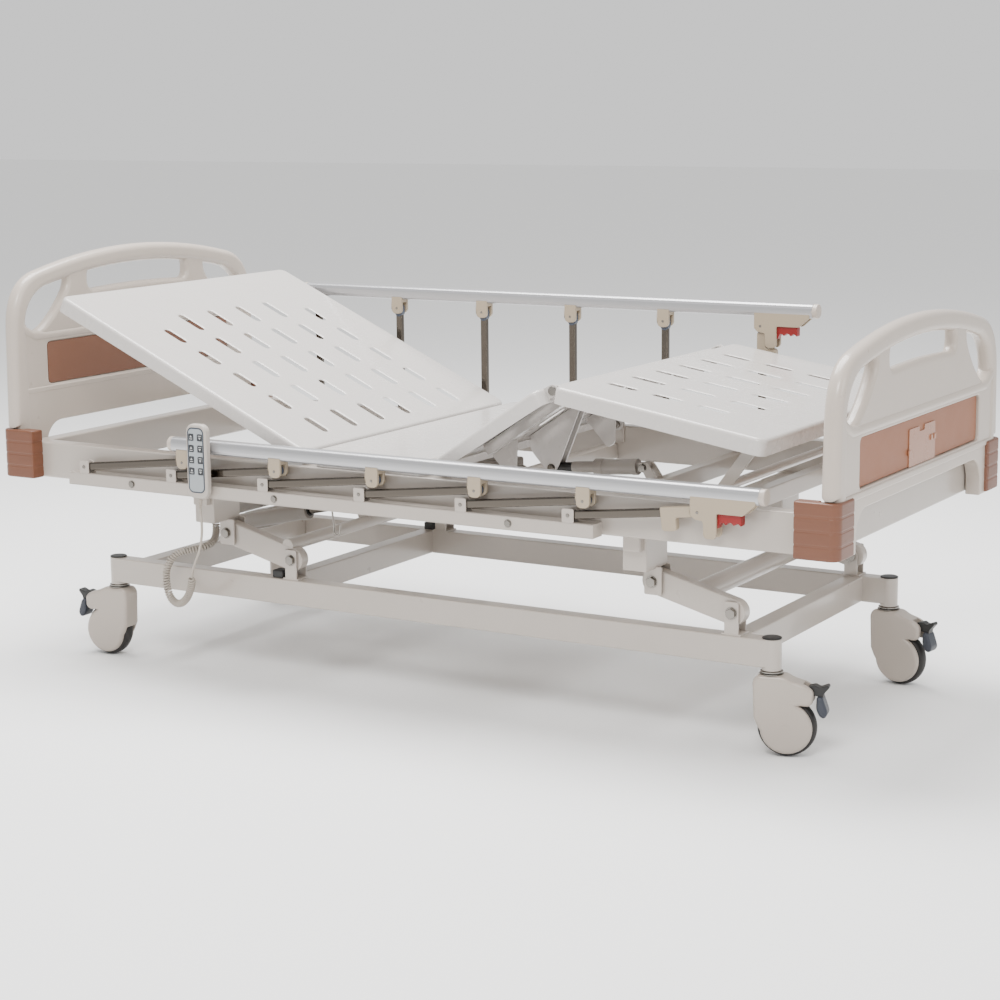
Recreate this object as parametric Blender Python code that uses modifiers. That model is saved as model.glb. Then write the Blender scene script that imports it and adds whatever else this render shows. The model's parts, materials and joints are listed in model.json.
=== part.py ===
"""Adjustable hospital bed with electric lift, back and knee sections.

Metres, +Z up.  +X runs from the head end to the foot end and -Y is the
patient's right-hand side.  The origin is on the floor under the bed's middle.
Every piece is modelled as it stands with the back and the knees raised, the
right-hand side rail folded down and the left-hand one raised.
"""

import math

import bmesh
import bpy
from mathutils import Matrix

# ------------------------------------------------------------ driving sizes
PIN_GAP = 0.0005
SHEET = 0.003
SIDES = (-1, 1)

# Base frame
POST_X = (-0.866, 0.880)
BASE_Y = 0.332
BASE_Z = (0.187, 0.247)
POST_Z = (0.181, 0.251)
POST_RADIUS = 0.0205
CROSS_X = ((-0.808, -0.764), (-0.400, -0.360), (0.778, 0.822))

# Parallelogram lift arms
LIFT_LOW = ((-0.333, 0.294), (0.794, 0.294))
LIFT_HIGH = ((-0.517, 0.342), (0.610, 0.342))
ARM_Y = (0.313, 0.341)
ARM_RADIUS = 0.028
LIFT_PIN = 0.008
HEAD_SHAFT = (-0.3455, 0.3267)
HILO_PIN = (-0.3635, 0.3734)
HILO_REAR = (-0.755, 0.285)

# Upper frame
RAIL_Y = (0.412, 0.452)
RAIL_Z = (0.455, 0.541)
FRAME_X = 1.039
CHANNEL_X = (-0.872, 0.546)
CHANNEL_Z = (0.453, 0.483)
CHANNEL_Y = 0.492

# Deck sections, flat top at DECK_TOP
DECK_TOP = 0.578
DECK_HALF = 0.445
RIM = 0.036
SLOT_WIDTH = 0.020
HINGE_Z = 0.545
BACK_HINGE = (-0.231, HINGE_Z)
THIGH_HINGE = (0.134, HINGE_Z)
BACK_ANGLE = math.radians(24.7)
THIGH_ANGLE = math.radians(33.5)
CALF_ANGLE = math.radians(-9.4)
KNEE_ARM = 0.338
KNEE_DROP = 0.018
LINK_FOOT = (0.740, 0.490)
LINK_LENGTH = 0.199
LINK_ANGLE = math.radians(53.2)
LINK_ON_CALF = (0.460, -0.020)
BACK_REAR = (0.078, 0.486)
BACK_LEVER = (0.0396, -0.0516)
KNEE_REAR = (0.417, 0.521)
THIGH_LEVER = (0.0146, -0.0613)

# Side rails
RAIL_POSTS = 6
RAIL_PITCH = 0.262
RAIL_FOOT_X = -0.8235
RAIL_FOOT_Z = 0.498
POST_LENGTH = 0.302
FOLDED = math.radians(6.4)
RAISED = math.radians(90)
TUBE_RISE = 0.040
TUBE_SPAN = (-0.0426, 1.4554)

# End boards
BOARD_X = (1.0395, 1.080)
FOOT_APEX = 0.900
HEAD_APEX = 0.988
BUMPER_Z = (0.4545, 0.571)
BUMPER_OUT = (1.085, 0.4875)

# Casters
TRAIL = 0.034
WHEEL_RADIUS = 0.0625
CASTERS = {
    "head_right": (POST_X[0], -BASE_Y, 182),
    "head_left": (POST_X[0], BASE_Y, 120),
    "foot_right": (POST_X[1], -BASE_Y, 14),
    "foot_left": (POST_X[1], BASE_Y, -7),
}

# Handset
HANDSET_X = (-0.492, -0.434)
HANDSET_Y = (-0.5216, -0.5010)
HANDSET_Z = (0.456, 0.628)
KEY_PITCH = (0.025, 0.026)
KEY_SIZE = (0.015, 0.016)
CORD_RADIUS = 0.003
COIL_RADIUS = 0.0095
CORD_ROUTE = (
    (-0.4630, -0.5113, 0.4557), (-0.4632, -0.5113, 0.4400), (-0.4636, -0.5105, 0.4200),
    (-0.4650, -0.5060, 0.3950), (-0.4720, -0.4990, 0.3650), (-0.4870, -0.4890, 0.3300),
    (-0.5080, -0.4770, 0.3010), (-0.5290, -0.4640, 0.2740), (-0.5420, -0.4530, 0.2520),
)
COIL_ROUTE = (
    (-0.5424, -0.4526, 0.2511), (-0.5560, -0.4400, 0.2240), (-0.5760, -0.4300, 0.1960),
    (-0.6000, -0.4210, 0.1780), (-0.6230, -0.4150, 0.1740), (-0.6430, -0.4100, 0.1850),
    (-0.6560, -0.4060, 0.2090), (-0.6600, -0.4020, 0.2400), (-0.6530, -0.3960, 0.2680),
    (-0.6370, -0.3870, 0.2870), (-0.6150, -0.3740, 0.2950), (-0.5960, -0.3560, 0.2980),
    (-0.5850, -0.3330, 0.3030), (-0.5870, -0.3070, 0.3120), (-0.5970, -0.2860, 0.3270),
    (-0.6040, -0.2770, 0.3450), (-0.6050, -0.2760, 0.3600), (-0.6050, -0.2760, 0.3744),
)

# ---------------------------------------------------------------- materials
FINISHES = {
    "frame_paint": ((0.47, 0.44, 0.41), 0.35, 0.0),
    "deck_paint": ((0.62, 0.60, 0.59), 0.32, 0.0),
    "board_plastic": ((0.58, 0.54, 0.50), 0.40, 0.0),
    "bumper_plastic": ((0.17, 0.10, 0.07), 0.45, 0.0),
    "rail_aluminium": ((0.62, 0.62, 0.62), 0.30, 0.9),
    "stainless": ((0.45, 0.42, 0.38), 0.20, 1.0),
    "lever_red": ((0.31, 0.01, 0.01), 0.35, 0.0),
    "caster_plastic": ((0.50, 0.46, 0.43), 0.38, 0.0),
    "tyre_rubber": ((0.06, 0.05, 0.04), 0.70, 0.0),
    "pedal_plastic": ((0.10, 0.11, 0.12), 0.45, 0.0),
    "handset_plastic": ((0.38, 0.39, 0.39), 0.40, 0.0),
    "key_rubber": ((0.20, 0.19, 0.18), 0.60, 0.0),
    "cord_rubber": ((0.22, 0.19, 0.16), 0.55, 0.0),
}


def clear_scene():
    for obj in list(bpy.data.objects):
        bpy.data.objects.remove(obj, do_unlink=True)


def make_collection(name):
    collection = bpy.data.collections.new(name)
    bpy.context.scene.collection.children.link(collection)
    return collection


def finish_material(name):
    found = bpy.data.materials.get(name)
    if found:
        return found
    colour, roughness, metallic = FINISHES[name]
    material = bpy.data.materials.new(name)
    material.use_nodes = True
    shader = material.node_tree.nodes["Principled BSDF"]
    shader.inputs["Base Color"].default_value = (*colour, 1.0)
    shader.inputs["Roughness"].default_value = roughness
    shader.inputs["Metallic"].default_value = metallic
    material.diffuse_color = (*colour, 1.0)
    return material


# ------------------------------------------------------------- basic solids
def scratch_object(mesh):
    """Put a mesh in the scene so that modifiers can use it."""
    obj = bpy.data.objects.new("piece", mesh)
    bpy.context.scene.collection.objects.link(obj)
    return obj


def from_bmesh(bm):
    mesh = bpy.data.meshes.new("piece")
    bm.to_mesh(mesh)
    bm.free()
    return scratch_object(mesh)


def box(x, y, z):
    """Box between pairs of limits; a pair may be given in either order."""
    size = [abs(pair[1] - pair[0]) for pair in (x, y, z)]
    middle = [(pair[0] + pair[1]) / 2 for pair in (x, y, z)]
    bm = bmesh.new()
    place = Matrix.Translation(middle) @ Matrix.Diagonal((*size, 1.0))
    bmesh.ops.create_cube(bm, size=1.0, matrix=place)
    return from_bmesh(bm)


def rod(axis, centre, limits, radius, sides=12):
    """Cylinder along X, Y or Z; centre holds the other two coordinates in order."""
    middle = (limits[0] + limits[1]) / 2
    turn = Matrix.Identity(4)
    if axis == "X":
        turn = Matrix.Rotation(math.pi / 2, 4, "Y")
        spot = (middle, centre[0], centre[1])
    elif axis == "Y":
        turn = Matrix.Rotation(math.pi / 2, 4, "X")
        spot = (centre[0], middle, centre[1])
    else:
        spot = (centre[0], centre[1], middle)
    bm = bmesh.new()
    bmesh.ops.create_cone(
        bm, cap_ends=True, segments=sides, radius1=radius, radius2=radius,
        depth=abs(limits[1] - limits[0]), matrix=Matrix.Translation(spot) @ turn)
    return from_bmesh(bm)


def curve_mesh(curve, merge=0.00001):
    """Turn a curve into a closed mesh with its caps welded."""
    obj = scratch_object(curve)
    mesh = bpy.data.meshes.new_from_object(
        obj.evaluated_get(bpy.context.evaluated_depsgraph_get()))
    bpy.data.objects.remove(obj, do_unlink=True)
    bm = bmesh.new()
    bm.from_mesh(mesh)
    bmesh.ops.remove_doubles(bm, verts=bm.verts, dist=merge)
    bmesh.ops.recalc_face_normals(bm, faces=bm.faces)
    bm.to_mesh(mesh)
    bm.free()
    return mesh


PLANES = {
    "X": Matrix(((0, 0, 1, 0), (1, 0, 0, 0), (0, 1, 0, 0), (0, 0, 0, 1))),
    "Y": Matrix(((1, 0, 0, 0), (0, 0, -1, 0), (0, 1, 0, 0), (0, 0, 0, 1))),
    "Z": Matrix.Identity(4),
}


def plate(outlines, normal, limits):
    """Flat plate square to an axis; the first outline is the edge, the rest holes."""
    curve = bpy.data.curves.new("plate", "CURVE")
    curve.dimensions = "2D"
    curve.fill_mode = "BOTH"
    curve.extrude = abs(limits[1] - limits[0]) / 2
    for outline in outlines:
        spline = curve.splines.new("POLY")
        spline.points.add(len(outline) - 1)
        for point, (u, v) in zip(spline.points, outline):
            point.co = (u, v, 0, 1)
        spline.use_cyclic_u = True
    mesh = curve_mesh(curve)
    shift = [0.0, 0.0, 0.0]
    shift["XYZ".index(normal)] = (limits[0] + limits[1]) / 2
    mesh.transform(Matrix.Translation(shift) @ PLANES[normal])
    return scratch_object(mesh)


def tube_along(points, radius, resolution=2):
    """Round tube of one radius through a list of points."""
    curve = bpy.data.curves.new("tube", "CURVE")
    curve.dimensions = "3D"
    curve.bevel_depth = radius
    curve.bevel_resolution = resolution
    curve.use_fill_caps = True
    spline = curve.splines.new("POLY")
    spline.points.add(len(points) - 1)
    for point, place in zip(spline.points, points):
        point.co = (*place, 1)
    return scratch_object(curve_mesh(curve))


# ----------------------------------------------------------------- outlines
def arc(centre, radius, start, end, steps):
    """Points on an arc, angles in degrees, both ends included."""
    points = []
    for step in range(steps + 1):
        angle = math.radians(start + (end - start) * step / steps)
        points.append((centre[0] + radius * math.cos(angle),
                       centre[1] + radius * math.sin(angle)))
    return points


def ring(centre, radius, sides=8):
    return arc(centre, radius, 0, 360 - 360 / sides, sides - 1)


def bore(centre, pin_radius, gap=PIN_GAP):
    """Hole outline whose flats clear a pin by the gap."""
    return ring(centre, (pin_radius + gap) / math.cos(math.pi / 8), 8)


def hull(circles, steps=10):
    """Convex outline round circles given as (u, v, radius)."""
    points = sorted({(round(u, 7), round(v, 7))
                     for cu, cv, radius in circles
                     for u, v in ring((cu, cv), radius, steps)})

    def half(ordered):
        chain = []
        for point in ordered:
            while len(chain) > 1 and turn_of(chain[-2], chain[-1], point) <= 1e-10:
                chain.pop()
            chain.append(point)
        return chain[:-1]

    return half(points) + half(points[::-1])


def turn_of(a, b, c):
    return (b[0] - a[0]) * (c[1] - a[1]) - (b[1] - a[1]) * (c[0] - a[0])


def rounded(u, v, radius, steps=3):
    """Rectangle between limits with round corners."""
    corners = ((u[1], v[1], 0), (u[0], v[1], 90), (u[0], v[0], 180), (u[1], v[0], 270))
    points = []
    for cu, cv, start in corners:
        inward_u = -radius if cu == u[1] else radius
        inward_v = -radius if cv == v[1] else radius
        points += arc((cu + inward_u, cv + inward_v), radius, start, start + 90, steps)
    return points


def smooth_route(points, spacing):
    """Points at an even spacing on a smooth curve through the given ones."""
    ends = [points[0]] + list(points) + [points[-1]]
    fine = []
    for a, b, c, d in zip(ends, ends[1:], ends[2:], ends[3:]):
        for step in range(12):
            t = step / 12
            fine.append([0.5 * (2 * q + (r - p) * t + (2 * p - 5 * q + 4 * r - s) * t * t
                                + (3 * q - p - 3 * r + s) * t ** 3)
                         for p, q, r, s in zip(a, b, c, d)])
    fine.append(list(points[-1]))
    total = sum(math.dist(a, b) for a, b in zip(fine, fine[1:]))
    count = max(2, round(total / spacing))
    route = [fine[0]]
    travelled = 0.0
    for a, b in zip(fine, fine[1:]):
        step = math.dist(a, b)
        while len(route) < count and travelled + step >= total * len(route) / count - 1e-9:
            share = (total * len(route) / count - travelled) / step
            route.append([p + (q - p) * share for p, q in zip(a, b)])
        travelled += step
    route.append(fine[-1])
    return route


# ------------------------------------------------------- joining and placing
def joined(pieces, cuts=()):
    """Union of the pieces, less the cuts, as one closed scratch object."""
    body = pieces[0]
    for operation, tools in (("UNION", pieces[1:]), ("DIFFERENCE", cuts)):
        for tool in tools:
            modifier = body.modifiers.new(operation.title(), "BOOLEAN")
            modifier.operation = operation
            modifier.solver = "EXACT"
            modifier.object = tool
    depsgraph = bpy.context.evaluated_depsgraph_get()
    mesh = bpy.data.meshes.new_from_object(body.evaluated_get(depsgraph))
    for piece in list(pieces) + list(cuts):
        bpy.data.objects.remove(piece, do_unlink=True)
    bm = bmesh.new()
    bm.from_mesh(mesh)
    bmesh.ops.remove_doubles(bm, verts=bm.verts, dist=0.000001)
    bmesh.ops.dissolve_limit(bm, angle_limit=0.0002, verts=bm.verts, edges=bm.edges)
    bmesh.ops.triangulate(bm, faces=[face for face in bm.faces if len(face.verts) > 4])
    bm.to_mesh(mesh)
    bm.free()
    return scratch_object(mesh)


def weld(name, finish, pieces, cuts=(), origin=(0, 0, 0), smooth=False):
    """Join the pieces into one named part whose origin is at the given point."""
    body = joined(pieces, cuts)
    mesh = body.data
    bpy.data.objects.remove(body, do_unlink=True)
    mesh.transform(Matrix.Translation([-value for value in origin]))
    mesh.materials.clear()
    mesh.materials.append(finish_material(finish))
    if smooth:
        mesh.shade_smooth()
        mesh.set_sharp_from_angle(angle=math.radians(40))
    obj = bpy.data.objects.new(name, mesh)
    BED.objects.link(obj)
    obj.location = origin
    return obj


def hand(side, pair):
    """Y limits on one side of the bed."""
    return (side * pair[0], side * pair[1])


def headed_pin(spot, side, shank, head, radius, head_radius, sides=8):
    """Pin along Y with a wider head, limits given outward from the middle."""
    return joined([rod("Y", spot, hand(side, shank), radius, sides),
                   rod("Y", spot, hand(side, head), head_radius, sides)])


def rail_pin(spot, side):
    return headed_pin(spot, side, (0.4700, 0.4915), (0.4894, 0.4925), 0.004, 0.007)


def deck_pin(spot, side):
    return headed_pin(spot, side, (0.3910, 0.4085), (0.3895, 0.3965), 0.006, 0.010, 8)


# --------------------------------------------------------------- base frame
def lift_ears(x, z, side):
    """Pair of ears on the side tube with the pin that carries a lift arm."""
    width = 0.016
    inner = [(x + width, 0.246), *arc((x, z), width, 0, 180, 8), (x - width, 0.246)]
    return [
        box((x - width, x + width), hand(side, (0.3065, 0.3478)), (0.245, 0.251)),
        box((x - width, x + width), hand(side, (0.344, 0.348)), (0.249, 0.318)),
        plate([inner], "Y", hand(side, (0.306, 0.310))),
        rod("Y", (x, z), hand(side, (0.307, 0.347)), LIFT_PIN, 8),
        rod("Y", (x, z), hand(side, (0.3475, 0.355)), 0.012, 6),
        rod("Y", (x, z), hand(side, (0.299, 0.3065)), 0.012, 6),
    ]


def clevis(pin, base_points, half_gap=0.0125, thick=0.005, radius=0.012):
    """Two plates round a pin, tied to whatever the base points lie in."""
    pieces = []
    for side in SIDES:
        circles = [(*pin, radius)] + [(*point, 0.006) for point in base_points]
        pieces.append(plate([hull(circles)], "Y", hand(side, (half_gap, half_gap + thick))))
        nut = hand(side, (half_gap + thick - 0.0005, half_gap + thick + 0.006))
        pieces.append(rod("Y", pin, nut, 0.009, 6))
    pieces.append(rod("Y", pin, (-half_gap - 0.001, half_gap + 0.001), 0.006, 8))
    return pieces


def base_frame():
    pieces = []
    for side in SIDES:
        inner, outer = BASE_Y - 0.020, BASE_Y + 0.020
        pieces.append(box(POST_X, hand(side, (inner, outer)), BASE_Z))
    for first, last in CROSS_X:
        pieces.append(box((first, last), (-0.315, 0.315), (BASE_Z[0] + 0.001, BASE_Z[1] - 0.001)))
    for x in POST_X:
        for side in SIDES:
            pieces.append(rod("Z", (x, side * BASE_Y), POST_Z, POST_RADIUS, 24))
    for x, z in LIFT_LOW:
        for side in SIDES:
            pieces += lift_ears(x, z, side)
    pieces += clevis(HILO_REAR, ((-0.798, 0.240), (-0.775, 0.240)))
    return weld("base_frame", "frame_paint", pieces)


# ------------------------------------------------------------------ casters
def caster_fork(label, x, y, turn, parent):
    """Hood, side covers, axle and swivel ring; local +X trails the swivel."""
    axle = (TRAIL, WHEEL_RADIUS)
    hood = [(-0.045, 0.150), (-0.041, 0.166), (-0.032, 0.173), (0.040, 0.173),
            (0.066, 0.169), (0.084, 0.159), (0.091, 0.145), (0.088, 0.124), (0.068, 0.120),
            *arc(axle, 0.057, 60, -180, 14),
            (-0.027, 0.095), (-0.042, 0.122)]
    pieces = [
        plate([hood], "Y", (-0.026, 0.026)),
        rod("Z", (0, 0), (0.172, 0.1807), 0.025, 24),
    ]
    cuts = [
        rod("Y", axle, (-0.0175, 0.0175), 0.0665, 28),
        box((0.050, 0.110), (-0.0175, 0.0175), (0.000, 0.090)),
        box((0.068, 0.110), (-0.0125, 0.0125), (0.085, 0.180)),
    ]
    fork = weld(f"caster_{label}_fork", "caster_plastic", [
        joined(pieces, cuts),
        rod("Y", axle, (-0.024, 0.024), 0.006, 8),
        rod("Y", (0.0850, 0.143), (-0.020, 0.020), 0.003, 8),
    ])
    fork.location = (x, y, 0)
    fork.rotation_euler.z = math.radians(turn)
    fork.parent = parent
    return fork


def caster_wheel(label, fork):
    """Turned wheel with a rounded tyre, on the fork's axle."""
    profile = [(0.0068, 0.016), (0.052, 0.016), (0.0610, 0.009), (0.0627, 0.0),
               (0.0610, -0.009), (0.052, -0.016), (0.0068, -0.016)]
    bm = bmesh.new()
    corners = [bm.verts.new((radius, 0, height)) for radius, height in profile]
    for first, second in zip(corners, corners[1:] + corners[:1]):
        bm.edges.new((first, second))
    obj = from_bmesh(bm)
    screw = obj.modifiers.new("Turn", "SCREW")
    screw.steps = 20
    screw.render_steps = 20
    screw.use_merge_vertices = True
    screw.merge_threshold = 0.00001
    wheel = weld(f"caster_{label}_wheel", "tyre_rubber", [obj], smooth=True)
    wheel.parent = fork
    wheel.location = (TRAIL, 0, WHEEL_RADIUS)
    wheel.rotation_euler.x = math.pi / 2
    return wheel


def caster_pedal(label, fork):
    """Brake pedal on its own pin behind the hood."""
    pin = (0.0850, 0.143)
    neck = [(0.0770, 0.152), *arc(pin, 0.0105, 130, -150, 9)]
    pieces = [
        plate([neck, bore(pin, 0.003)], "Y", (-0.0115, 0.0115)),
        plate([[(0.0925, 0.150), (0.0925, 0.137), (0.104, 0.128), (0.101, 0.103),
                (0.106, 0.088), (0.113, 0.086), (0.121, 0.100), (0.115, 0.122),
                (0.122, 0.130), (0.122, 0.138), (0.106, 0.153), (0.097, 0.157)]],
              "Y", (-0.0115, 0.0115)),
        plate([[(0.101, 0.122), (0.103, 0.098), (0.107, 0.089), (0.113, 0.087),
                (0.120, 0.100), (0.114, 0.122)]], "Y", (-0.020, 0.020)),
    ]
    pedal = weld(f"caster_{label}_pedal", "pedal_plastic", pieces, origin=(pin[0], 0, pin[1]))
    pedal.parent = fork
    return pedal


# ---------------------------------------------------------------- lift arms
def lift_arm(low, high, upper_gap):
    pieces = []
    for side in SIDES:
        outline = hull([(*low, ARM_RADIUS), (*high, ARM_RADIUS)], 16)
        holes = [bore(low, LIFT_PIN), bore(high, LIFT_PIN, upper_gap)]
        pieces.append(plate([outline, *holes], "Y", hand(side, ARM_Y)))
    return pieces


def head_lift_arm():
    pieces = lift_arm(LIFT_LOW[0], LIFT_HIGH[0], PIN_GAP)
    pieces.append(rod("Y", HEAD_SHAFT, (-0.3405, 0.3405), 0.015, 20))
    for side in SIDES:
        ear = hull([(*HEAD_SHAFT, 0.016), (*HILO_PIN, 0.013)])
        pieces.append(plate([ear], "Y", hand(side, (0.0125, 0.0185))))
        pieces.append(rod("Y", HILO_PIN, hand(side, (0.018, 0.0245)), 0.010, 6))
    low = LIFT_LOW[0]
    return weld("head_lift_arm", "frame_paint", pieces, origin=(low[0], 0, low[1]))


def foot_lift_arm():
    low, high = LIFT_LOW[1], LIFT_HIGH[1]
    pieces = lift_arm(low, high, 2 * PIN_GAP)
    middle = ((low[0] + high[0]) / 2 - 0.005, (low[1] + high[1]) / 2 + 0.001)
    pieces.append(rod("Y", middle, (-0.320, 0.320), 0.0225, 20))
    return weld("foot_lift_arm", "frame_paint", pieces, origin=(low[0], 0, low[1]))


# ---------------------------------------------------------------- actuators
def actuator(label, rear, pin, front, radius, rod_radius, inside, spare, motor=0):
    """Electric actuator; local +X runs from its rear pin to its rod's eye.

    inside is the length of rod in the barrel at rest, spare the bore behind it,
    and motor the sign of the local Z side that the gearbox hangs on, or 0.
    """
    reach = math.dist(rear, pin)
    tilt = math.atan2(rear[1] - pin[1], pin[0] - rear[0])
    body = [
        plate([hull([(0, 0, 0.0115), (0.030, 0, 0.0115)]), bore((0, 0), 0.006)],
              "Y", (-0.0115, 0.0115)),
        rod("X", (0, 0), (0.018, front), radius, 20),
    ]
    if motor:
        body.append(box((0.022, 0.100), (0.004, 0.072), (-0.026 * motor, 0.022 * motor)))
        body.append(rod("X", (0.046, 0), (0.095, 0.175), 0.024, 16))
    hollow = rod("X", (0, 0), (front - inside - spare, front + 0.010), rod_radius + PIN_GAP, 16)
    barrel = weld(f"{label}_actuator_body", "handset_plastic", body, [hollow])
    plunger = weld(f"{label}_actuator_rod", "stainless", [
        rod("X", (0, 0), (front - inside, reach - 0.008), rod_radius, 16),
        rod("Y", (reach, 0), (-0.0115, 0.0115), 0.0125, 16),
    ])
    for piece in (barrel, plunger):
        piece.location = (rear[0], 0, rear[1])
        piece.rotation_euler.y = tilt


# -------------------------------------------------------------- upper frame
def upper_bracket(x, z, side):
    """Plates under a frame stub with the pin of a lift arm's upper end."""
    across = (x - 0.018, x + 0.023)
    return [
        box(across, hand(side, (0.345, 0.350)), (z - 0.028, 0.376)),
        box(across, hand(side, (0.304, 0.308)), (z - 0.028, 0.376)),
        rod("Y", (x, z), hand(side, (0.3055, 0.348)), LIFT_PIN, 8),
        rod("Y", (x, z), hand(side, (0.3495, 0.357)), 0.012, 6),
        rod("Y", (x, z), hand(side, (0.297, 0.3045)), 0.012, 6),
    ]


def hinge_ear(x, z, side, bottom):
    """Ear on the rail's inner face with a pin that points inward."""
    radius = 0.014
    outline = [(x + radius, bottom), *arc((x, z), radius, 0, 180, 8), (x - radius, bottom)]
    return [
        plate([outline], "Y", hand(side, (0.4065, 0.4125))),
        deck_pin((x, z), side),
    ]


def rail_tab(x, side):
    """Tab on the rail channel that carries one side-rail post."""
    half, height = 0.014, RAIL_FOOT_Z
    outline = [(x + half, 0.482), *arc((x, height), half, 0, 180, 6), (x - half, 0.482)]
    return [
        plate([outline], "Y", hand(side, (0.4665, 0.4715))),
        box((x - half, x + half), hand(side, (0.4665, 0.4915)), (0.481, 0.4855)),
        rail_pin((x, height), side),
    ]


def upper_frame():
    pieces = []
    for side in SIDES:
        pieces.append(box((-FRAME_X, FRAME_X), hand(side, RAIL_Y), RAIL_Z))
        pieces.append(box(CHANNEL_X, hand(side, (0.4515, CHANNEL_Y)), CHANNEL_Z))
        for x, z in (BACK_HINGE, THIGH_HINGE):
            pieces += hinge_ear(x, z, side, 0.500)
        pieces += hinge_ear(*LINK_FOOT, side, 0.460)
        for number in range(RAIL_POSTS):
            pieces += rail_tab(RAIL_FOOT_X + number * RAIL_PITCH, side)
        for (x, z), stub in zip(LIFT_HIGH, ((-0.568, -0.512), (0.567, 0.623))):
            pieces.append(box(stub, hand(side, (0.300, 0.400)), (0.3725, 0.4585)))
            pieces += upper_bracket(x, z, side)
        end = side * FRAME_X
        pieces.append(box((end, end - side * 0.040), (-0.415, 0.415), (0.456, 0.540)))
    beams = (
        ((-0.560, -0.520), (0.417, 0.4605)), ((0.575, 0.615), (0.417, 0.4605)),
        ((-0.345, -0.305), (0.460, 0.497)), ((0.098, 0.128), (0.458, 0.495)),
        ((0.437, 0.467), (0.457, 0.497)), ((0.690, 0.722), (0.457, 0.497)),
    )
    for across, height in beams:
        pieces.append(box(across, (-0.416, 0.416), height))
    pieces += clevis(BACK_REAR, ((0.110, 0.480), (0.110, 0.488)))
    pieces += clevis(KNEE_REAR, ((0.443, 0.490), (0.458, 0.490)))
    pieces.append(box((-0.640, -0.530), (-0.260, -0.140), (0.4485, 0.4545)))
    pieces.append(box((-0.645, -0.525), (-0.300, -0.100), (0.375, 0.450)))
    pieces.append(box((-0.476, -0.450), (-0.5006, -0.490), (0.4575, 0.479)))
    return weld("upper_frame", "frame_paint", pieces)


# ------------------------------------------------------------- deck sections
def slot(centre, length, width):
    """Slot outline along X with pointed-round ends, six corners."""
    half, side = length / 2, width / 2
    points = [(half, 0), (half - side, side), (side - half, side),
              (-half, 0), (side - half, -side), (half - side, -side)]
    return [(centre[0] + u, centre[1] + v) for u, v in points]


def deck_shell(x, top, slots, lips):
    """Pressed sheet with turned-down rims; lips give the rim depth at both ends."""
    half, under = DECK_HALF, top - RIM - 0.010
    cuts = [box((x[0] + SHEET, x[1] - SHEET), (SHEET - half, half - SHEET),
                (under, top - SHEET))]
    for end, sign, lip in ((x[0], 1, lips[0]), (x[1], -1, lips[1])):
        if lip < RIM:
            cuts.append(box((end - sign * 0.010, end + sign * 0.005),
                            (SHEET - half, half - SHEET), (under, top - lip)))
    if slots:
        cuts.append(plate(slots, "Z", (top - 0.010, top + 0.010)))
    return [joined([box(x, (-half, half), (top - RIM, top))], cuts)]


def hinge_lugs(reach, top):
    """Lugs inside the frame ears; reach is the lug's foot on the sheet along X."""
    radius = 0.014
    pieces = []
    start, end = (0, -180) if reach < 0 else (180, 360)
    near = 0.0015 if reach < 0 else -0.0015
    outline = [*arc((0, 0), radius, start, end, 8), (reach, top), (near, top),
               (near, radius + 0.006)]
    for side in SIDES:
        pieces.append(plate([outline, bore((0, 0), 0.006)], "Y",
                            hand(side, (0.3985, 0.4040))))
    return pieces


def lever_plates(circles, pin, half_gap=0.0125):
    pieces = []
    for side in SIDES:
        pieces.append(plate([hull(circles)], "Y", hand(side, (half_gap, half_gap + 0.005))))
        nut = hand(side, (half_gap + 0.0045, half_gap + 0.011))
        pieces.append(rod("Y", pin, nut, 0.009, 6))
    return pieces


def back_section():
    """Back rest; local origin on its hinge, panel toward -X."""
    end, length = 0.0024, 0.771
    head = end - length
    slots = []
    for row in range(5):
        for y in (-0.172, -0.0575, 0.0575, 0.172):
            slots.append(slot((head + 0.192 + 0.1228 * row, y), 0.081, SLOT_WIDTH))
        for y in (-0.288, 0.288):
            slots.append(slot((head + 0.240 + 0.1115 * row, y), 0.068, SLOT_WIDTH))
    top = DECK_TOP - HINGE_Z
    pieces = deck_shell((head, end), top, slots, (RIM, 0.012))
    pieces += hinge_lugs(-0.030, top - 0.0015)
    pieces += lever_plates([(*BACK_LEVER, 0.013), (0, 0, 0.012), (-0.016, 0.0225, 0.008)],
                           BACK_LEVER)
    section = weld("back_section", "deck_paint", pieces)
    section.location = (BACK_HINGE[0], 0, BACK_HINGE[1])
    section.rotation_euler.y = BACK_ANGLE


def seat_panel():
    weld("seat_panel", "deck_paint", deck_shell((-0.193, 0.105), DECK_TOP, [], (RIM, RIM)))


def thigh_section():
    """Thigh rest; local origin on its hinge, panel toward +X."""
    start, end = 0.004, 0.322
    top = DECK_TOP - HINGE_Z
    slots = []
    for row in range(2):
        for y in (-0.288, -0.172, -0.0575, 0.0575, 0.172, 0.288):
            slots.append(slot((start + 0.100 + 0.115 * row, y), 0.078, SLOT_WIDTH))
    pieces = deck_shell((start, end), top, slots, (0.012, RIM))
    pieces += hinge_lugs(0.030, top - 0.0015)
    pieces += lever_plates([(*THIGH_LEVER, 0.013), (0.002, 0.002, 0.012),
                            (0.150, 0.0225, 0.008)], THIGH_LEVER)
    knee = (KNEE_ARM, top - KNEE_DROP)
    for side in SIDES:
        lug = hull([(*knee, 0.012), (end - 0.006, knee[1] + 0.006, 0.009),
                    (end - 0.030, knee[1] + 0.006, 0.009)])
        pieces.append(plate([lug], "Y", hand(side, (0.4065, 0.4125))))
        pieces.append(deck_pin(knee, side))
    section = weld("thigh_section", "deck_paint", pieces)
    section.location = (THIGH_HINGE[0], 0, THIGH_HINGE[1])
    section.rotation_euler.y = -THIGH_ANGLE


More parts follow.
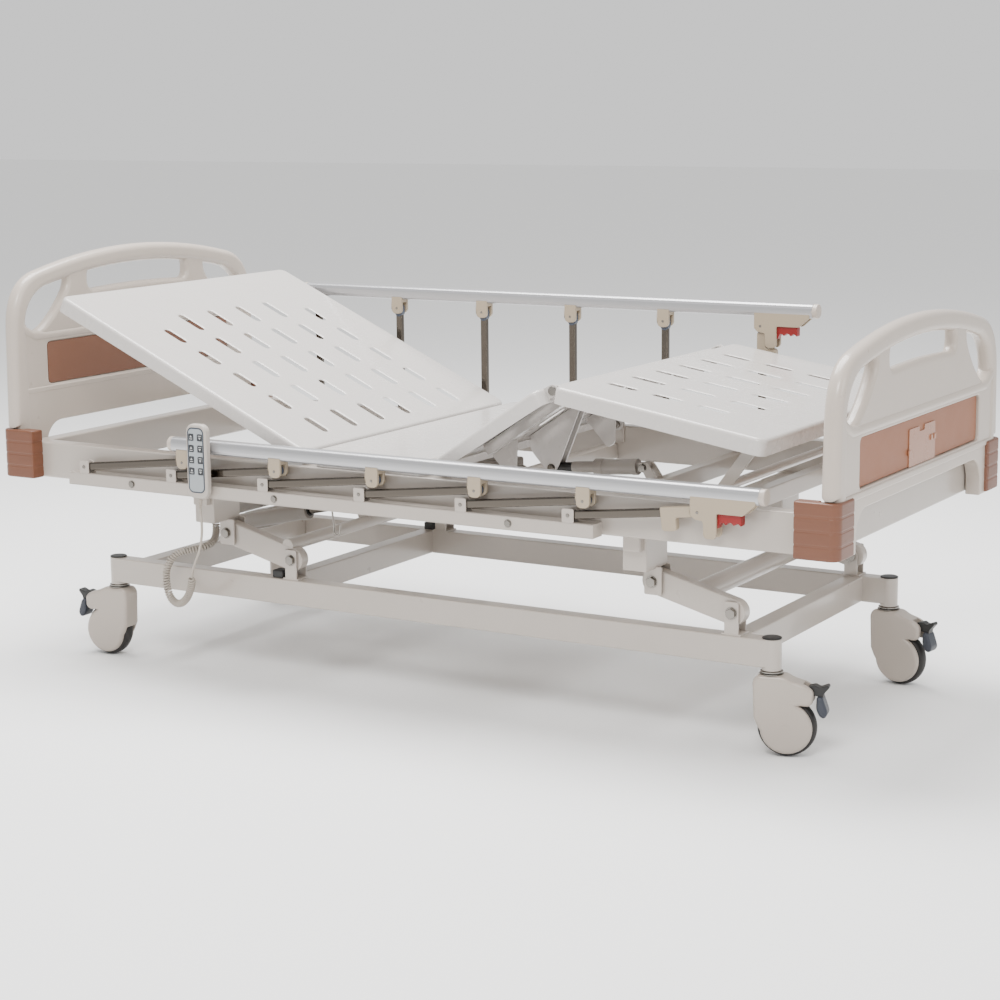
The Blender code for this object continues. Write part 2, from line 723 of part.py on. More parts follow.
def knee_point():
    rise = DECK_TOP - HINGE_Z - KNEE_DROP
    cosine, sine = math.cos(THIGH_ANGLE), math.sin(THIGH_ANGLE)
    return (THIGH_HINGE[0] + KNEE_ARM * cosine - rise * sine,
            THIGH_HINGE[1] + KNEE_ARM * sine + rise * cosine)


def calf_section():
    """Calf rest; local origin on the knee hinge, panel toward +X."""
    start, end = 0.016, 0.505
    slots = []
    for row in range(3):
        for y in (-0.172, -0.0575, 0.0575, 0.172):
            slots.append(slot((0.103 + 0.120 * row, y), 0.081, SLOT_WIDTH))
        for y in (-0.288, 0.288):
            slots.append(slot((0.100 + 0.108 * row, y), 0.070, SLOT_WIDTH))
    pieces = deck_shell((start, end), KNEE_DROP, slots, (RIM, RIM))
    for side in SIDES:
        lug = hull([(0, 0, 0.012), (start + 0.006, 0.006, 0.009), (start + 0.030, 0.006, 0.009)])
        pieces.append(plate([lug, bore((0, 0), 0.006)], "Y",
                            hand(side, (0.3985, 0.4040))))
        arm = hull([(*LINK_ON_CALF, 0.013), (0.440, 0.008, 0.008), (0.480, 0.008, 0.008)])
        pieces.append(plate([arm], "Y", hand(side, (0.3880, 0.3935))))
        pieces.append(rod("Y", LINK_ON_CALF, hand(side, (0.3820, 0.3885)), 0.009, 6))
    section = weld("calf_section", "deck_paint", pieces)
    knee = knee_point()
    section.location = (knee[0], 0, knee[1])
    section.rotation_euler.y = -CALF_ANGLE


def calf_link():
    """U-shaped prop that carries the calf rest; local +X runs up its arms."""
    pieces = []
    for side in SIDES:
        outline = hull([(0, 0, 0.0125), (LINK_LENGTH, 0, 0.0125)])
        pieces.append(plate([outline, bore((0, 0), 0.006)], "Y",
                            hand(side, (0.3985, 0.4040))))
    pieces.append(rod("Y", (0.100, 0), (-0.400, 0.400), 0.010, 12))
    link = weld("calf_link", "frame_paint", pieces)
    link.location = (LINK_FOOT[0], 0, LINK_FOOT[1])
    link.rotation_euler.y = -LINK_ANGLE


# --------------------------------------------------------------- side rails
def rail_post(label, number, angle, side, length):
    """Side-rail post; local +X runs from its foot pin to its top pin."""
    half = 0.009
    outline = hull([(0, 0, half), (length, 0, half)], 12)
    pieces = [plate([outline, bore((0, 0), 0.004), bore((length, 0), 0.004)],
                    "Y", hand(side, (0.475, 0.489)))]
    if number == "latch_post":
        near, far = length - 0.088, length - 0.018
        hook = [(near, 0.012), (near, -0.032), (near + 0.006, -0.038), (near + 0.028, -0.038),
                (near + 0.034, -0.032), (near + 0.034, -0.011), (far, -0.011), (far, 0.012)]
        pieces.append(plate([hook], "Y", hand(side, (0.4738, 0.4895))))
    post = weld(f"rail_{label}_{number}", "stainless", pieces)
    index = RAIL_POSTS - 1 if number == "latch_post" else int(number[-1]) - 1
    post.location = (RAIL_FOOT_X + index * RAIL_PITCH, 0, RAIL_FOOT_Z)
    post.rotation_euler.y = -angle
    return post


def rail_tube(label, angle, side):
    """Top tube with its brackets and latch housing; origin on the first top pin."""
    flat = hand(side, (0.4645, 0.4995))
    low, high = TUBE_RISE - 0.0175, TUBE_RISE + 0.0175
    section = rounded((min(flat), max(flat)), (low, high), 0.012, 3)
    pieces = [plate([section], "X", TUBE_SPAN)]
    for number in range(RAIL_POSTS):
        x = number * RAIL_PITCH
        sides = [(x - 0.016, low + 0.013), *arc((x, 0), 0.0140, 180, 360, 8),
                 (x + 0.016, low + 0.013)]
        pieces.append(plate([sides], "Y", hand(side, (0.4665, 0.4715))))
        pieces.append(rail_pin((x, 0), side))
    end = (RAIL_POSTS - 1) * RAIL_PITCH
    latch = [(end + 0.0125, low + 0.013), (end + 0.0125, -0.046), (end + 0.018, -0.052),
             (end + 0.036, -0.052), (end + 0.042, -0.046), (end + 0.042, 0.000),
             (end + 0.098, 0.000), (end + 0.126, low - 0.001), (end + 0.126, low + 0.013)]
    pieces.append(plate([latch], "Y", hand(side, (0.4665, 0.4715))))
    pieces.append(box((end + 0.0285, end + 0.034), hand(side, (0.467, 0.496)),
                      (-0.004, low + 0.010)))
    pieces.append(plate([latch], "Y", hand(side, (0.4915, 0.4965))))
    tube = weld(f"rail_{label}_tube", "rail_aluminium", pieces)
    top = (RAIL_FOOT_X + POST_LENGTH * math.cos(angle), RAIL_FOOT_Z + POST_LENGTH * math.sin(angle))
    tube.location = (top[0], 0, top[1])
    lever_x = end + 0.060
    grip = [(lever_x - 0.020, 0.012), (lever_x - 0.0245, -0.006), (lever_x - 0.0245, -0.030),
            (lever_x - 0.018, -0.0315), (lever_x - 0.011, -0.020), (lever_x + 0.034, -0.0225),
            (lever_x + 0.034, -0.001), (lever_x + 0.012, 0.012)]
    lever = weld(f"rail_{label}_latch_lever", "lever_red", [
        plate([grip, bore((lever_x, 0.004), 0.003)], "Y", hand(side, (0.4735, 0.4895)))],
        origin=(lever_x, 0, 0.004))
    lever.parent = tube
    return tube


def side_rail(label, angle, side):
    for number in range(1, RAIL_POSTS):
        rail_post(label, f"post_{number}", angle, side, POST_LENGTH)
    rail_post(label, "latch_post", angle, side, POST_LENGTH)
    rail_tube(label, angle, side)


# --------------------------------------------------------------- end boards
def board_outlines(apex, arch_top):
    """Outer edge, middle hand hole and two ear holes, in Y and Z."""
    def crown(y):
        return apex - 0.30 * y * y

    shoulder = 0.375
    corner = (0.4665, apex - 0.063)
    straight = (0.472, apex - 0.170)
    seat = BUMPER_Z[1] + 0.0008
    right = [(0.465, 0.4505), (0.465, seat), (0.478, seat + 0.003)]
    for step in range(7):
        t = step / 6
        blend = [straight[i] * (1 - t) ** 2 + 2 * corner[i] * t * (1 - t)
                 + (shoulder, crown(shoulder))[i] * t * t for i in (0, 1)]
        right.append(tuple(blend))
    top = [(y, crown(y)) for y in (0.30, 0.18, 0.06, -0.06, -0.18, -0.30)]
    left = [(-y, z) for y, z in reversed(right)]
    arch_y, arch_r = 0.372, 0.055
    arch = [(-arch_y, 0.4505), *arc((-arch_y + arch_r, arch_top - arch_r), arch_r, 180, 90, 5),
            *arc((arch_y - arch_r, arch_top - arch_r), arch_r, 90, 0, 5), (arch_y, 0.4505)]
    outer = right + top + left + arch
    inset = 0.046
    middle = [(y, crown(y) - inset) for y in (-0.170, -0.085, 0.0, 0.085, 0.170)]
    middle += arc((0.166, apex - 0.077), 0.022, 60, -60, 4)
    middle += [(y, apex - 0.095 - 0.15 * y * y) for y in (0.160, 0.0, -0.160)]
    middle += arc((-0.166, apex - 0.077), 0.022, 240, 120, 4)
    holes = [middle]
    for side in SIDES:
        ear = [(0.280, crown(0.280) - inset), (0.340, crown(0.340) - inset),
               (0.382, crown(0.382) - inset), (0.410, apex - 0.114), (0.422, apex - 0.138),
               (0.420, apex - 0.163), (0.407, apex - 0.181), (0.388, apex - 0.181),
               (0.368, apex - 0.163), (0.335, apex - 0.132), (0.300, apex - 0.110),
               (0.268, apex - 0.099), (0.262, apex - 0.085)]
        holes.append([(side * y, z) for y, z in ear])
    return [outer, *holes]


def end_board(name, side, apex, arch_top):
    body = plate(board_outlines(apex, arch_top), "X", hand(side, BOARD_X))
    trim = box(hand(side, (1.0700, 1.090)), (-0.6, 0.6), (0.40, BUMPER_Z[1] + 0.0012))
    weld(name, "board_plastic", [body], [trim])


def bumper(name, end, side):
    """Corner bumper round the board's leg and the side rail's end."""
    x_out, y_out = BUMPER_OUT
    radius = 0.022
    outline = [(x_out - 0.098, y_out - 0.035), (x_out - 0.098, y_out - 0.006),
               (x_out - 0.094, y_out), *arc((x_out - radius, y_out - radius), radius, 90, 0, 5),
               (x_out, y_out - 0.084), (x_out - 0.005, y_out - 0.090),
               (x_out - 0.0145, y_out - 0.090), (x_out - 0.0145, 0.4655), (FRAME_X - 0.004, 0.4655),
               (FRAME_X - 0.004, 0.4525)]
    mirrored = [(end * x, side * y) for x, y in outline]
    weld(name, "bumper_plastic", [plate([mirrored], "Z", BUMPER_Z)])


# ------------------------------------------------------------------ handset
def key_places():
    middle = (HANDSET_X[0] + HANDSET_X[1]) / 2
    for row in range(4):
        for column in (0, 1):
            yield (f"handset_key_{2 * row + column + 1}",
                   middle + (column - 0.5) * KEY_PITCH[0], 0.598 - row * KEY_PITCH[1])


def handset():
    face = HANDSET_Y[0] + 0.0006
    case = plate([rounded(HANDSET_X, HANDSET_Z, 0.018, 5)], "Y", (face, HANDSET_Y[1]))
    wide, tall = KEY_SIZE[0] / 2 + 0.0006, KEY_SIZE[1] / 2 + 0.0006
    pockets = [box((x - wide, x + wide), (face - 0.002, face + 0.0035), (z - tall, z + tall))
               for _, x, z in key_places()]
    weld("handset", "handset_plastic", [case], pockets)
    for name, x, z in key_places():
        outline = rounded((x - KEY_SIZE[0] / 2, x + KEY_SIZE[0] / 2),
                          (z - KEY_SIZE[1] / 2, z + KEY_SIZE[1] / 2), 0.004, 2)
        weld(name, "key_rubber", [plate([outline], "Y", (HANDSET_Y[0], face + 0.0022))],
             origin=(x, face, z))


def handset_cord():
    weld("handset_cord_straight", "cord_rubber",
         [tube_along(smooth_route(CORD_ROUTE, 0.012), CORD_RADIUS, 2)], smooth=True)
    weld("handset_cord_coil", "cord_rubber",
         [tube_along(smooth_route(COIL_ROUTE, 0.026), COIL_RADIUS, 2)], smooth=True)


# --------------------------------------------------------------------- build
clear_scene()
BED = make_collection("hospital_bed")
BASE = base_frame()
for corner, (corner_x, corner_y, corner_turn) in CASTERS.items():
    corner_fork = caster_fork(corner, corner_x, corner_y, corner_turn, BASE)
    caster_wheel(corner, corner_fork)
    caster_pedal(corner, corner_fork)
head_lift_arm()
foot_lift_arm()
upper_frame()
actuator("hilo", HILO_REAR, HILO_PIN, 0.235, 0.020, 0.010, 0.110, 0.025, 1)
actuator("back", BACK_REAR, (BACK_HINGE[0] + 0.0144, BACK_HINGE[1] - 0.0634), 0.228,
         0.018, 0.009, 0.085, 0.040, -1)
actuator("knee", KNEE_REAR, (0.1802, 0.5019), 0.130, 0.018, 0.009, 0.060, 0.015)
back_section()
seat_panel()
thigh_section()
calf_section()
calf_link()
side_rail("right", FOLDED, -1)
side_rail("left", RAISED, 1)
end_board("headboard", -1, HEAD_APEX, 0.575)
end_board("footboard", 1, FOOT_APEX, 0.539)
for end_name, end_sign in (("head", -1), ("foot", 1)):
    for side_name, side_sign in (("right", -1), ("left", 1)):
        bumper(f"bumper_{end_name}_{side_name}", end_sign, side_sign)
handset()
handset_cord()
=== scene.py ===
import json
import math

import bmesh
import bpy
from mathutils import Matrix, Vector


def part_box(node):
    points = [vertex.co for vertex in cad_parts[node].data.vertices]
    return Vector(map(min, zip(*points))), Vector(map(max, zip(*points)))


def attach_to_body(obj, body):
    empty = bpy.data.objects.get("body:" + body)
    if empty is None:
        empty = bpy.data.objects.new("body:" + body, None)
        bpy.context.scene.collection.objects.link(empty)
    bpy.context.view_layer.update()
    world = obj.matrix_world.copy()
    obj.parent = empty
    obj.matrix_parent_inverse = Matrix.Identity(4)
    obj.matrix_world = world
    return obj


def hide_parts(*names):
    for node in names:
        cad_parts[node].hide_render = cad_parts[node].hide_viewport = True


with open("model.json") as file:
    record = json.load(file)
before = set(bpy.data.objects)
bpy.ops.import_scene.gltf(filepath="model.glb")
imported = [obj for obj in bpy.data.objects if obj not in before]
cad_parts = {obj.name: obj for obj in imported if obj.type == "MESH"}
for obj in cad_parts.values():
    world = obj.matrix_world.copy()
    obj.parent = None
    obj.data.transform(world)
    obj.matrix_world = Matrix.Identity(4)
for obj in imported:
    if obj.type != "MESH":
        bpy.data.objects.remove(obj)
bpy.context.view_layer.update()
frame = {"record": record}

SIDES = (-1, 1)
UPPER = "upper_frame"
SMALL_BOLT = (0.009, 0.0105)
LARGE_BOLT = (0.0115, 0.0135)
JOINTS = {joint["name"]: joint for joint in frame["record"]["behaviour"]["joints"]}


def mm(*points):
    """Points given in millimetres, in metres."""
    return [tuple(part / 1000 for part in point) for point in points]


def pivot(joint):
    """A joint's point at rest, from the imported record."""
    return Vector(JOINTS[joint]["pos_m"])


def linked(name, data):
    """New object in the scene."""
    obj = bpy.data.objects.new(name, data)
    bpy.context.scene.collection.objects.link(obj)
    return obj


# --- camera
CAMERA_AT = (2.715, -4.494, 1.377)
CAMERA_TURN = math.radians(30.86)
CAMERA_TILT = math.radians(10.456)
CAMERA_ROLL = math.radians(-0.577)
CAMERA_LENS = 80.87


def make_camera():
    level = math.cos(CAMERA_TILT)
    back = Vector((math.sin(CAMERA_TURN) * level, -math.cos(CAMERA_TURN) * level,
        math.sin(CAMERA_TILT)))
    right = Vector((math.cos(CAMERA_TURN), math.sin(CAMERA_TURN), 0.0))
    up = back.cross(right)
    cosine, sine = math.cos(CAMERA_ROLL), math.sin(CAMERA_ROLL)
    columns = (right * cosine + up * sine, up * cosine - right * sine, back)
    data = bpy.data.cameras.new("camera")
    data.sensor_width, data.lens, data.clip_end = 36.0, CAMERA_LENS, 100.0
    camera = linked("camera", data)
    rotation = Matrix(columns).transposed().to_4x4()
    camera.matrix_world = Matrix.Translation(CAMERA_AT) @ rotation
    bpy.context.scene.camera = camera


# --- materials
COAT_ROUGHNESS = 0.12
MOTTLE_SCALE = 9.0
SMUDGE_SCALE = 23.0
SMUDGE = 0.06
LEAST_ROUGHNESS = 0.03


def surface(name, colour, roughness, grain, bump, mottle, metallic=0.0, coat=0.0, specular=0.5,
        stretch=(1, 1, 1), height=0.0004, voronoi=False):
    """Principled material with colour mottle, roughness smudges and a grain bump."""
    material = bpy.data.materials.new(name)
    material.use_nodes = True
    nodes, links = material.node_tree.nodes, material.node_tree.links
    shader = nodes["Principled BSDF"]
    for socket, value in (("Metallic", metallic), ("Coat Weight", coat), ("Coat Roughness",
            COAT_ROUGHNESS), ("Specular IOR Level", specular)):
        shader.inputs[socket].default_value = value
    place = nodes.new("ShaderNodeTexCoord")
    scale = nodes.new("ShaderNodeMapping")
    scale.inputs["Scale"].default_value = stretch
    links.new(place.outputs["Object"], scale.inputs["Vector"])

    def pattern(kind, size, detail):
        node = nodes.new(f"ShaderNodeTex{kind}")
        node.inputs["Scale"].default_value = size
        node.inputs["Detail"].default_value = detail
        links.new(scale.outputs["Vector"], node.inputs["Vector"])
        return node

    broad = pattern("Noise", MOTTLE_SCALE, 5.0)
    tint = nodes.new("ShaderNodeMix")
    tint.data_type = "RGBA"
    for socket, factor in (("A", 1 - mottle), ("B", 1 + mottle)):
        tint.inputs[socket].default_value = (*(min(1.0, part * factor) for part in colour), 1.0)
    links.new(broad.outputs["Fac"], tint.inputs["Factor"])
    links.new(tint.outputs["Result"], shader.inputs["Base Color"])

    smear = pattern("Noise", SMUDGE_SCALE, 6.0)
    spread = nodes.new("ShaderNodeMapRange")
    spread.inputs["To Min"].default_value = max(LEAST_ROUGHNESS, roughness - SMUDGE)
    spread.inputs["To Max"].default_value = roughness + SMUDGE
    links.new(smear.outputs["Fac"], spread.inputs["Value"])
    links.new(spread.outputs["Result"], shader.inputs["Roughness"])

    if voronoi:
        output = pattern("Voronoi", grain, 0.0).outputs["Distance"]
    else:
        output = pattern("Noise", grain, 2.0).outputs["Fac"]
    relief = nodes.new("ShaderNodeBump")
    relief.inputs["Strength"].default_value = bump
    relief.inputs["Distance"].default_value = height
    links.new(output, relief.inputs["Height"])
    links.new(relief.outputs["Normal"], shader.inputs["Normal"])
    return material


PAINT = surface("frame_paint", (0.4, 0.355, 0.312), 0.3, 520, 0.1, 0.03, coat=0.35)
DECK = surface("deck_paint", (0.52, 0.49, 0.465), 0.27, 340, 0.08, 0.02, coat=0.3)
BOARD = surface("board_plastic", (0.46, 0.4, 0.345), 0.3, 900, 0.06, 0.02, coat=0.2)
INLAY_HEAD = surface("inlay_head", (0.175, 0.073, 0.04), 0.48, 620, 0.55, 0.09, height=0.0006,
    voronoi=True)
INLAY_FOOT = surface("inlay_foot", (0.255, 0.095, 0.043), 0.45, 620, 0.55, 0.06, height=0.0006,
    voronoi=True)
BUMPER = surface("bumper_plastic", (0.135, 0.048, 0.023), 0.4, 60, 0.3, 0.14, stretch=(1, 1, 9),
    height=0.0005)
ALUMINIUM = surface("rail_aluminium", (0.42, 0.42, 0.43), 0.34, 900, 0.1, 0.03, metallic=0.75,
    stretch=(0.04, 1, 1))
# Stainless: base colour set far darker than bright steel, a painted dark reflection standing in
# for what the polished tubes mirror.
STAINLESS_PAINTED_REFLECTION = surface("stainless", (0.105, 0.092, 0.078), 0.16, 800, 0.08, 0.1, metallic=1.0,
    stretch=(0.06, 1, 0.06))
LATCH = surface("latch_plastic", (0.35, 0.285, 0.205), 0.42, 700, 0.12, 0.02)
RED = surface("lever_red", (0.22, 0.0008, 0.0006), 0.45, 500, 0.06, 0.05)
CASTER = surface("caster_plastic", (0.38, 0.33, 0.285), 0.3, 600, 0.06, 0.02, coat=0.25)
TYRE = surface("tyre_rubber", (0.012, 0.01, 0.009), 0.6, 900, 0.25, 0.15)
PEDAL = surface("pedal_plastic", (0.024, 0.028, 0.04), 0.42, 800, 0.2, 0.06)
HANDSET = surface("handset_plastic", (0.4, 0.36, 0.32), 0.42, 900, 0.15, 0.02)
MEMBRANE = surface("membrane", (0.3, 0.325, 0.34), 0.36, 1200, 0.05, 0.01)
OUTLINE = surface("membrane_line", (0.02, 0.028, 0.045), 0.45, 900, 0.05, 0.03)
KEY = surface("key_rubber", (0.022, 0.024, 0.027), 0.55, 1500, 0.2, 0.05)
ICON = surface("key_icon", (0.45, 0.46, 0.46), 0.5, 900, 0.05, 0.02)
CORD = surface("cord_rubber", (0.34, 0.3, 0.255), 0.42, 900, 0.1, 0.04)
ZINC = surface("zinc", (0.22, 0.205, 0.185), 0.26, 700, 0.2, 0.15, metallic=1.0)
BLACK = surface("black_plastic", (0.008, 0.0075, 0.007), 0.45, 900, 0.15, 0.1)
BUSH = surface("bush_rubber", (0.05, 0.062, 0.09), 0.5, 900, 0.1, 0.05)
MOTOR = surface("actuator_plastic", (0.24, 0.215, 0.19), 0.4, 700, 0.15, 0.06)
# Card holder: the clear pocket is drawn opaque in the colour of the foot inlay showing through,
# lightened as a painted sheen.
HOLDER_PAINTED_SHEEN = surface("card_holder", (0.31, 0.13, 0.068), 0.26, 200, 0.03, 0.01, coat=0.3)


# --- mesh making
def evaluated_mesh(obj):
    graph = bpy.context.evaluated_depsgraph_get()
    return bpy.data.meshes.new_from_object(obj.evaluated_get(graph))


def arc(centre, radius, start, end, steps):
    """Points on an arc in degrees, both ends included."""
    angles = [math.radians(start + (end - start) * step / steps) for step in range(steps + 1)]
    return [(centre[0] + radius * math.cos(a), centre[1] + radius * math.sin(a)) for a in angles]


def ring(centre, radius, sides=28):
    return arc(centre, radius, 0, 360 - 360 / sides, sides - 1)


def rounded(u, v, radius, steps=6):
    """Rectangle between limits with round corners."""
    points = []
    for cu, cv, start in ((u[1], v[1], 0), (u[0], v[1], 90), (u[0], v[0], 180), (u[1], v[0], 270)):
        inward_u = -radius if cu == u[1] else radius
        inward_v = -radius if cv == v[1] else radius
        points += arc((cu + inward_u, cv + inward_v), radius, start, start + 90, steps)
    return points


def capsule(first, last, radius, steps=12):
    """Outline round two points."""
    heading = math.degrees(math.atan2(last[1] - first[1], last[0] - first[0]))
    return (arc(last, radius, heading - 90, heading + 90, steps) + arc(first, radius, heading + 90,
        heading + 270, steps))


def round_corners(points, radius, steps=5):
    """Outline with each corner replaced by a curve of about the given radius."""
    out = []
    count = len(points)
    for index in range(count):
        before, here, after = (Vector(points[(index + turn) % count]) for turn in (-1, 0, 1))
        reach = min(radius, (before - here).length / 2.01, (after - here).length / 2.01)
        start = here + (before - here).normalized() * reach
        end = here + (after - here).normalized() * reach
        for step in range(steps + 1):
            t = step / steps
            out.append(tuple(start * (1 - t) ** 2 + here * 2 * t * (1 - t) + end * t * t))
    return out


def hand(side, inner, outer):
    """Limits on one side of the middle plane, in rising order."""
    return tuple(sorted((side * inner, side * outer)))


def ear(x, z, half, bottom, steps=14):
    """Upright tab from a bottom height, round at its top about a pin."""
    return [(x - half, bottom), (x + half, bottom), *arc((x, z), half, 0, 180, steps)]


def soft_rectangle(u, v, radius):
    return round_corners([(u[0], v[0]), (u[1], v[0]), (u[1], v[1]), (u[0], v[1])], radius)


def shifted(points, along):
    return [(u + along, v) for u, v in points]


def loft(bm, first, second):
    """Quads between two closed rings of vertices."""
    for i in range(len(first)):
        j = (i + 1) % len(first)
        bm.faces.new((first[i], first[j], second[j], second[i]))


SHARP_ANGLE = math.radians(38)
MERGE = 0.00002
TURNS = {"X": Matrix.Rotation(math.pi / 2, 4, "Y"), "Y": Matrix.Rotation(math.pi / 2, 4, "X"),
    "Z": Matrix.Identity(4)}
PLANES = {"X": Matrix(((0, 0, 1, 0), (1, 0, 0, 0), (0, 1, 0, 0), (0, 0, 0, 1))),
    "Y": Matrix(((1, 0, 0, 0), (0, 0, -1, 0), (0, 1, 0, 0), (0, 0, 0, 1))),
    "Z": Matrix.Identity(4)}


class Shape:
    """Collects rounded solids in one mesh, placed by an optional matrix."""

    def __init__(self, place=None):
        self.bm = bmesh.new()
        self.place = place or Matrix.Identity(4)

    def add(self, mesh):
        mesh.transform(self.place)
        self.bm.from_mesh(mesh)
        bpy.data.meshes.remove(mesh)
        return self

    def add_bm(self, bm):
        mesh = bpy.data.meshes.new("part")
        bm.to_mesh(mesh)
        bm.free()
        return self.add(mesh)

    def box(self, x, y, z, radius=0.002, steps=2):
        size = [abs(pair[1] - pair[0]) for pair in (x, y, z)]
        middle = [(pair[0] + pair[1]) / 2 for pair in (x, y, z)]
        bm = bmesh.new()
        bmesh.ops.create_cube(bm, size=1.0, matrix=Matrix.Translation(middle) @
            Matrix.Diagonal((*size, 1.0)))
        bmesh.ops.bevel(bm, geom=bm.edges[:], offset=min(radius, min(size) * 0.45), segments=steps,
            affect="EDGES", profile=0.5)
        return self.add_bm(bm)

    def rod(self, axis, centre, limits, radius, bevel=0.0012, sides=28):
        """Cylinder along an axis; centre holds the other two coordinates in order."""
        spot = list(centre)
        spot.insert("XYZ".index(axis), (limits[0] + limits[1]) / 2)
        depth = abs(limits[1] - limits[0])
        bm = bmesh.new()
        bmesh.ops.create_cone(bm, cap_ends=True, segments=sides, radius1=radius, radius2=radius,
            depth=depth, matrix=Matrix.Translation(spot) @ TURNS[axis])
        caps = [face for face in bm.faces if len(face.verts) == sides]
        edges = {edge for face in caps for edge in face.edges}
        if bevel:
            bmesh.ops.bevel(bm, geom=list(edges), offset=min(bevel, depth * 0.4), segments=2,
                affect="EDGES", profile=0.5)
        return self.add_bm(bm)

    def turned(self, profile, centre, axis, steps=48):
        """Profile of (along, radius) pairs turned round an axis through centre."""
        bm = bmesh.new()
        rings = []
        for along, radius in profile:
            rings.append([bm.verts.new((radius * math.cos(2 * math.pi * i / steps),
                radius * math.sin(2 * math.pi * i / steps), along)) for i in range(steps)])
        for lower, upper in zip(rings, rings[1:]):
            loft(bm, lower, upper)
        bm.faces.new(rings[0][::-1])
        bm.faces.new(rings[-1])
        bm.transform(Matrix.Translation(centre) @ TURNS[axis])
        bmesh.ops.recalc_face_normals(bm, faces=bm.faces[:])
        return self.add_bm(bm)

    def plate(self, outlines, normal, limits, radius=0.001, steps=2, cuts=()):
        """Plate with rounded edges; outlines after the first are holes."""
        curve = bpy.data.curves.new("plate", "CURVE")
        curve.dimensions = "2D"
        curve.fill_mode = "BOTH"
        half = abs(limits[1] - limits[0]) / 2
        radius = min(radius, half * 0.96)
        curve.extrude = half - radius
        curve.bevel_depth = radius
        curve.bevel_resolution = steps
        curve.offset = -radius
        for outline in outlines:
            spline = curve.splines.new("POLY")
            spline.points.add(len(outline) - 1)
            for point, (u, v) in zip(spline.points, outline):
                point.co = (u, v, 0, 1)
            spline.use_cyclic_u = True
        source = linked("scratch", curve)
        mesh = evaluated_mesh(source)
        bpy.data.objects.remove(source, do_unlink=True)
        bm = bmesh.new()
        bm.from_mesh(mesh)
        bmesh.ops.remove_doubles(bm, verts=bm.verts[:], dist=MERGE)
        bmesh.ops.recalc_face_normals(bm, faces=bm.faces[:])
        bm.to_mesh(mesh)
        bm.free()
        shift = [0.0, 0.0, 0.0]
        shift["XYZ".index(normal)] = (limits[0] + limits[1]) / 2
        mesh.transform(Matrix.Translation(shift) @ PLANES[normal])
        if cuts:
            mesh = carve(mesh, cuts)
        return self.add(mesh)

    def web(self, outlines, side, inner, outer, *edge):
        """Plate square to Y on one side of the bed."""
        return self.plate(outlines, "Y", hand(side, inner, outer), *edge)

    def hexagon(self, spot, side, inner, outer, radius, washer=0.0):
        """Bolt head or nut along Y, with a washer at its inner end."""
        self.rod("Y", spot, hand(side, inner, outer), radius, (outer - inner) * 0.18, 6)
        if washer:
            self.rod("Y", spot, hand(side, inner - 0.0002, inner + 0.0016), washer, 0.0004)

    def mesh(self, name):
        mesh = bpy.data.meshes.new(name)
        self.bm.to_mesh(mesh)
        self.bm.free()
        return mesh

    def piece(self, name, body, material, node=None, slot=None):
        """Finish the mesh as one piece that rides on a body and may stand for a node.

        The slot, the material's name without the number that Blender may add to it, is not used.
        """
        mesh = self.mesh(name)
        mesh.materials.append(material)
        mesh.shade_smooth()
        mesh.set_sharp_from_angle(angle=SHARP_ANGLE)
        obj = linked(name, mesh)
        obj.modifiers.new("Normals", "WEIGHTED_NORMAL").keep_sharp = True
        attach(obj, body, node)
        return obj


def attach(obj, body, node=None):
    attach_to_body(obj, body)
    if node:
        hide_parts(node)


def carve(mesh, shapes):
    """Take shapes out of a mesh."""
    body = linked("scratch", mesh)
    tools = [linked("scratch", shape.mesh("cutter")) for shape in shapes]
    for tool in tools:
        modifier = body.modifiers.new("Cut", "BOOLEAN")
        modifier.operation = "DIFFERENCE"
        modifier.solver = "EXACT"
        modifier.use_self = True
        modifier.object = tool
    result = evaluated_mesh(body)
    for obj in [body, *tools]:
        bpy.data.objects.remove(obj, do_unlink=True)
    return result


def at(point, angle):
    """Frame with its origin at a joint and turned about Y."""
    return Matrix.Translation(point) @ Matrix.Rotation(angle, 4, "Y")


make_camera()

# --- cords
CORD_RADIUS = 0.003
COIL_OUTER = 0.0095
COIL_WIRE = 0.0026
COIL_PITCH = 0.0066
CORD_ROUTE = mm((-463, -511.3, 455.7), (-463.2, -511.3, 440), (-463.6, -510.5, 420), (-465, -506,
    395), (-472, -499, 365), (-487, -489, 330), (-508, -477, 301), (-529, -464, 274), (-542, -453,
    252))
COIL_ROUTE = mm((-542.4, -452.6, 251.1), (-556, -440, 224), (-576, -430, 196), (-600, -421, 178),
    (-623, -415, 174), (-643, -410, 185), (-656, -406, 209), (-660, -402, 240), (-653, -396, 268),
    (-637, -387, 287), (-615, -374, 295), (-596, -356, 298), (-585, -333, 303), (-587, -307, 312),
    (-597, -286, 327), (-604, -277, 345), (-605, -276, 360), (-605, -276, 374.4))


def smooth_route(points, spacing):
    """Points at an even spacing on a smooth curve through the given ones."""
    ends = [points[0]] + list(points) + [points[-1]]
    fine = []
    for a, b, c, d in zip(ends, ends[1:], ends[2:], ends[3:]):
        for step in range(24):
            t = step / 24
            fine.append(Vector([0.5 * (2 * q + (r - p) * t + (2 * p - 5 * q + 4 * r - s) * t * t +
                (3 * q - p - 3 * r + s) * t ** 3) for p, q, r, s in zip(a, b, c, d)]))
    fine.append(Vector(points[-1]))
    total = sum((b - a).length for a, b in zip(fine, fine[1:]))
    count = round(total / spacing)
    route = [fine[0]]
    travelled = 0.0
    for a, b in zip(fine, fine[1:]):
        step = (b - a).length
        while len(route) < count and travelled + step >= total * len(route) / count - 1e-9:
            route.append(a.lerp(b, (total * len(route) / count - travelled) / step))
        travelled += step
    return route + [fine[-1]]


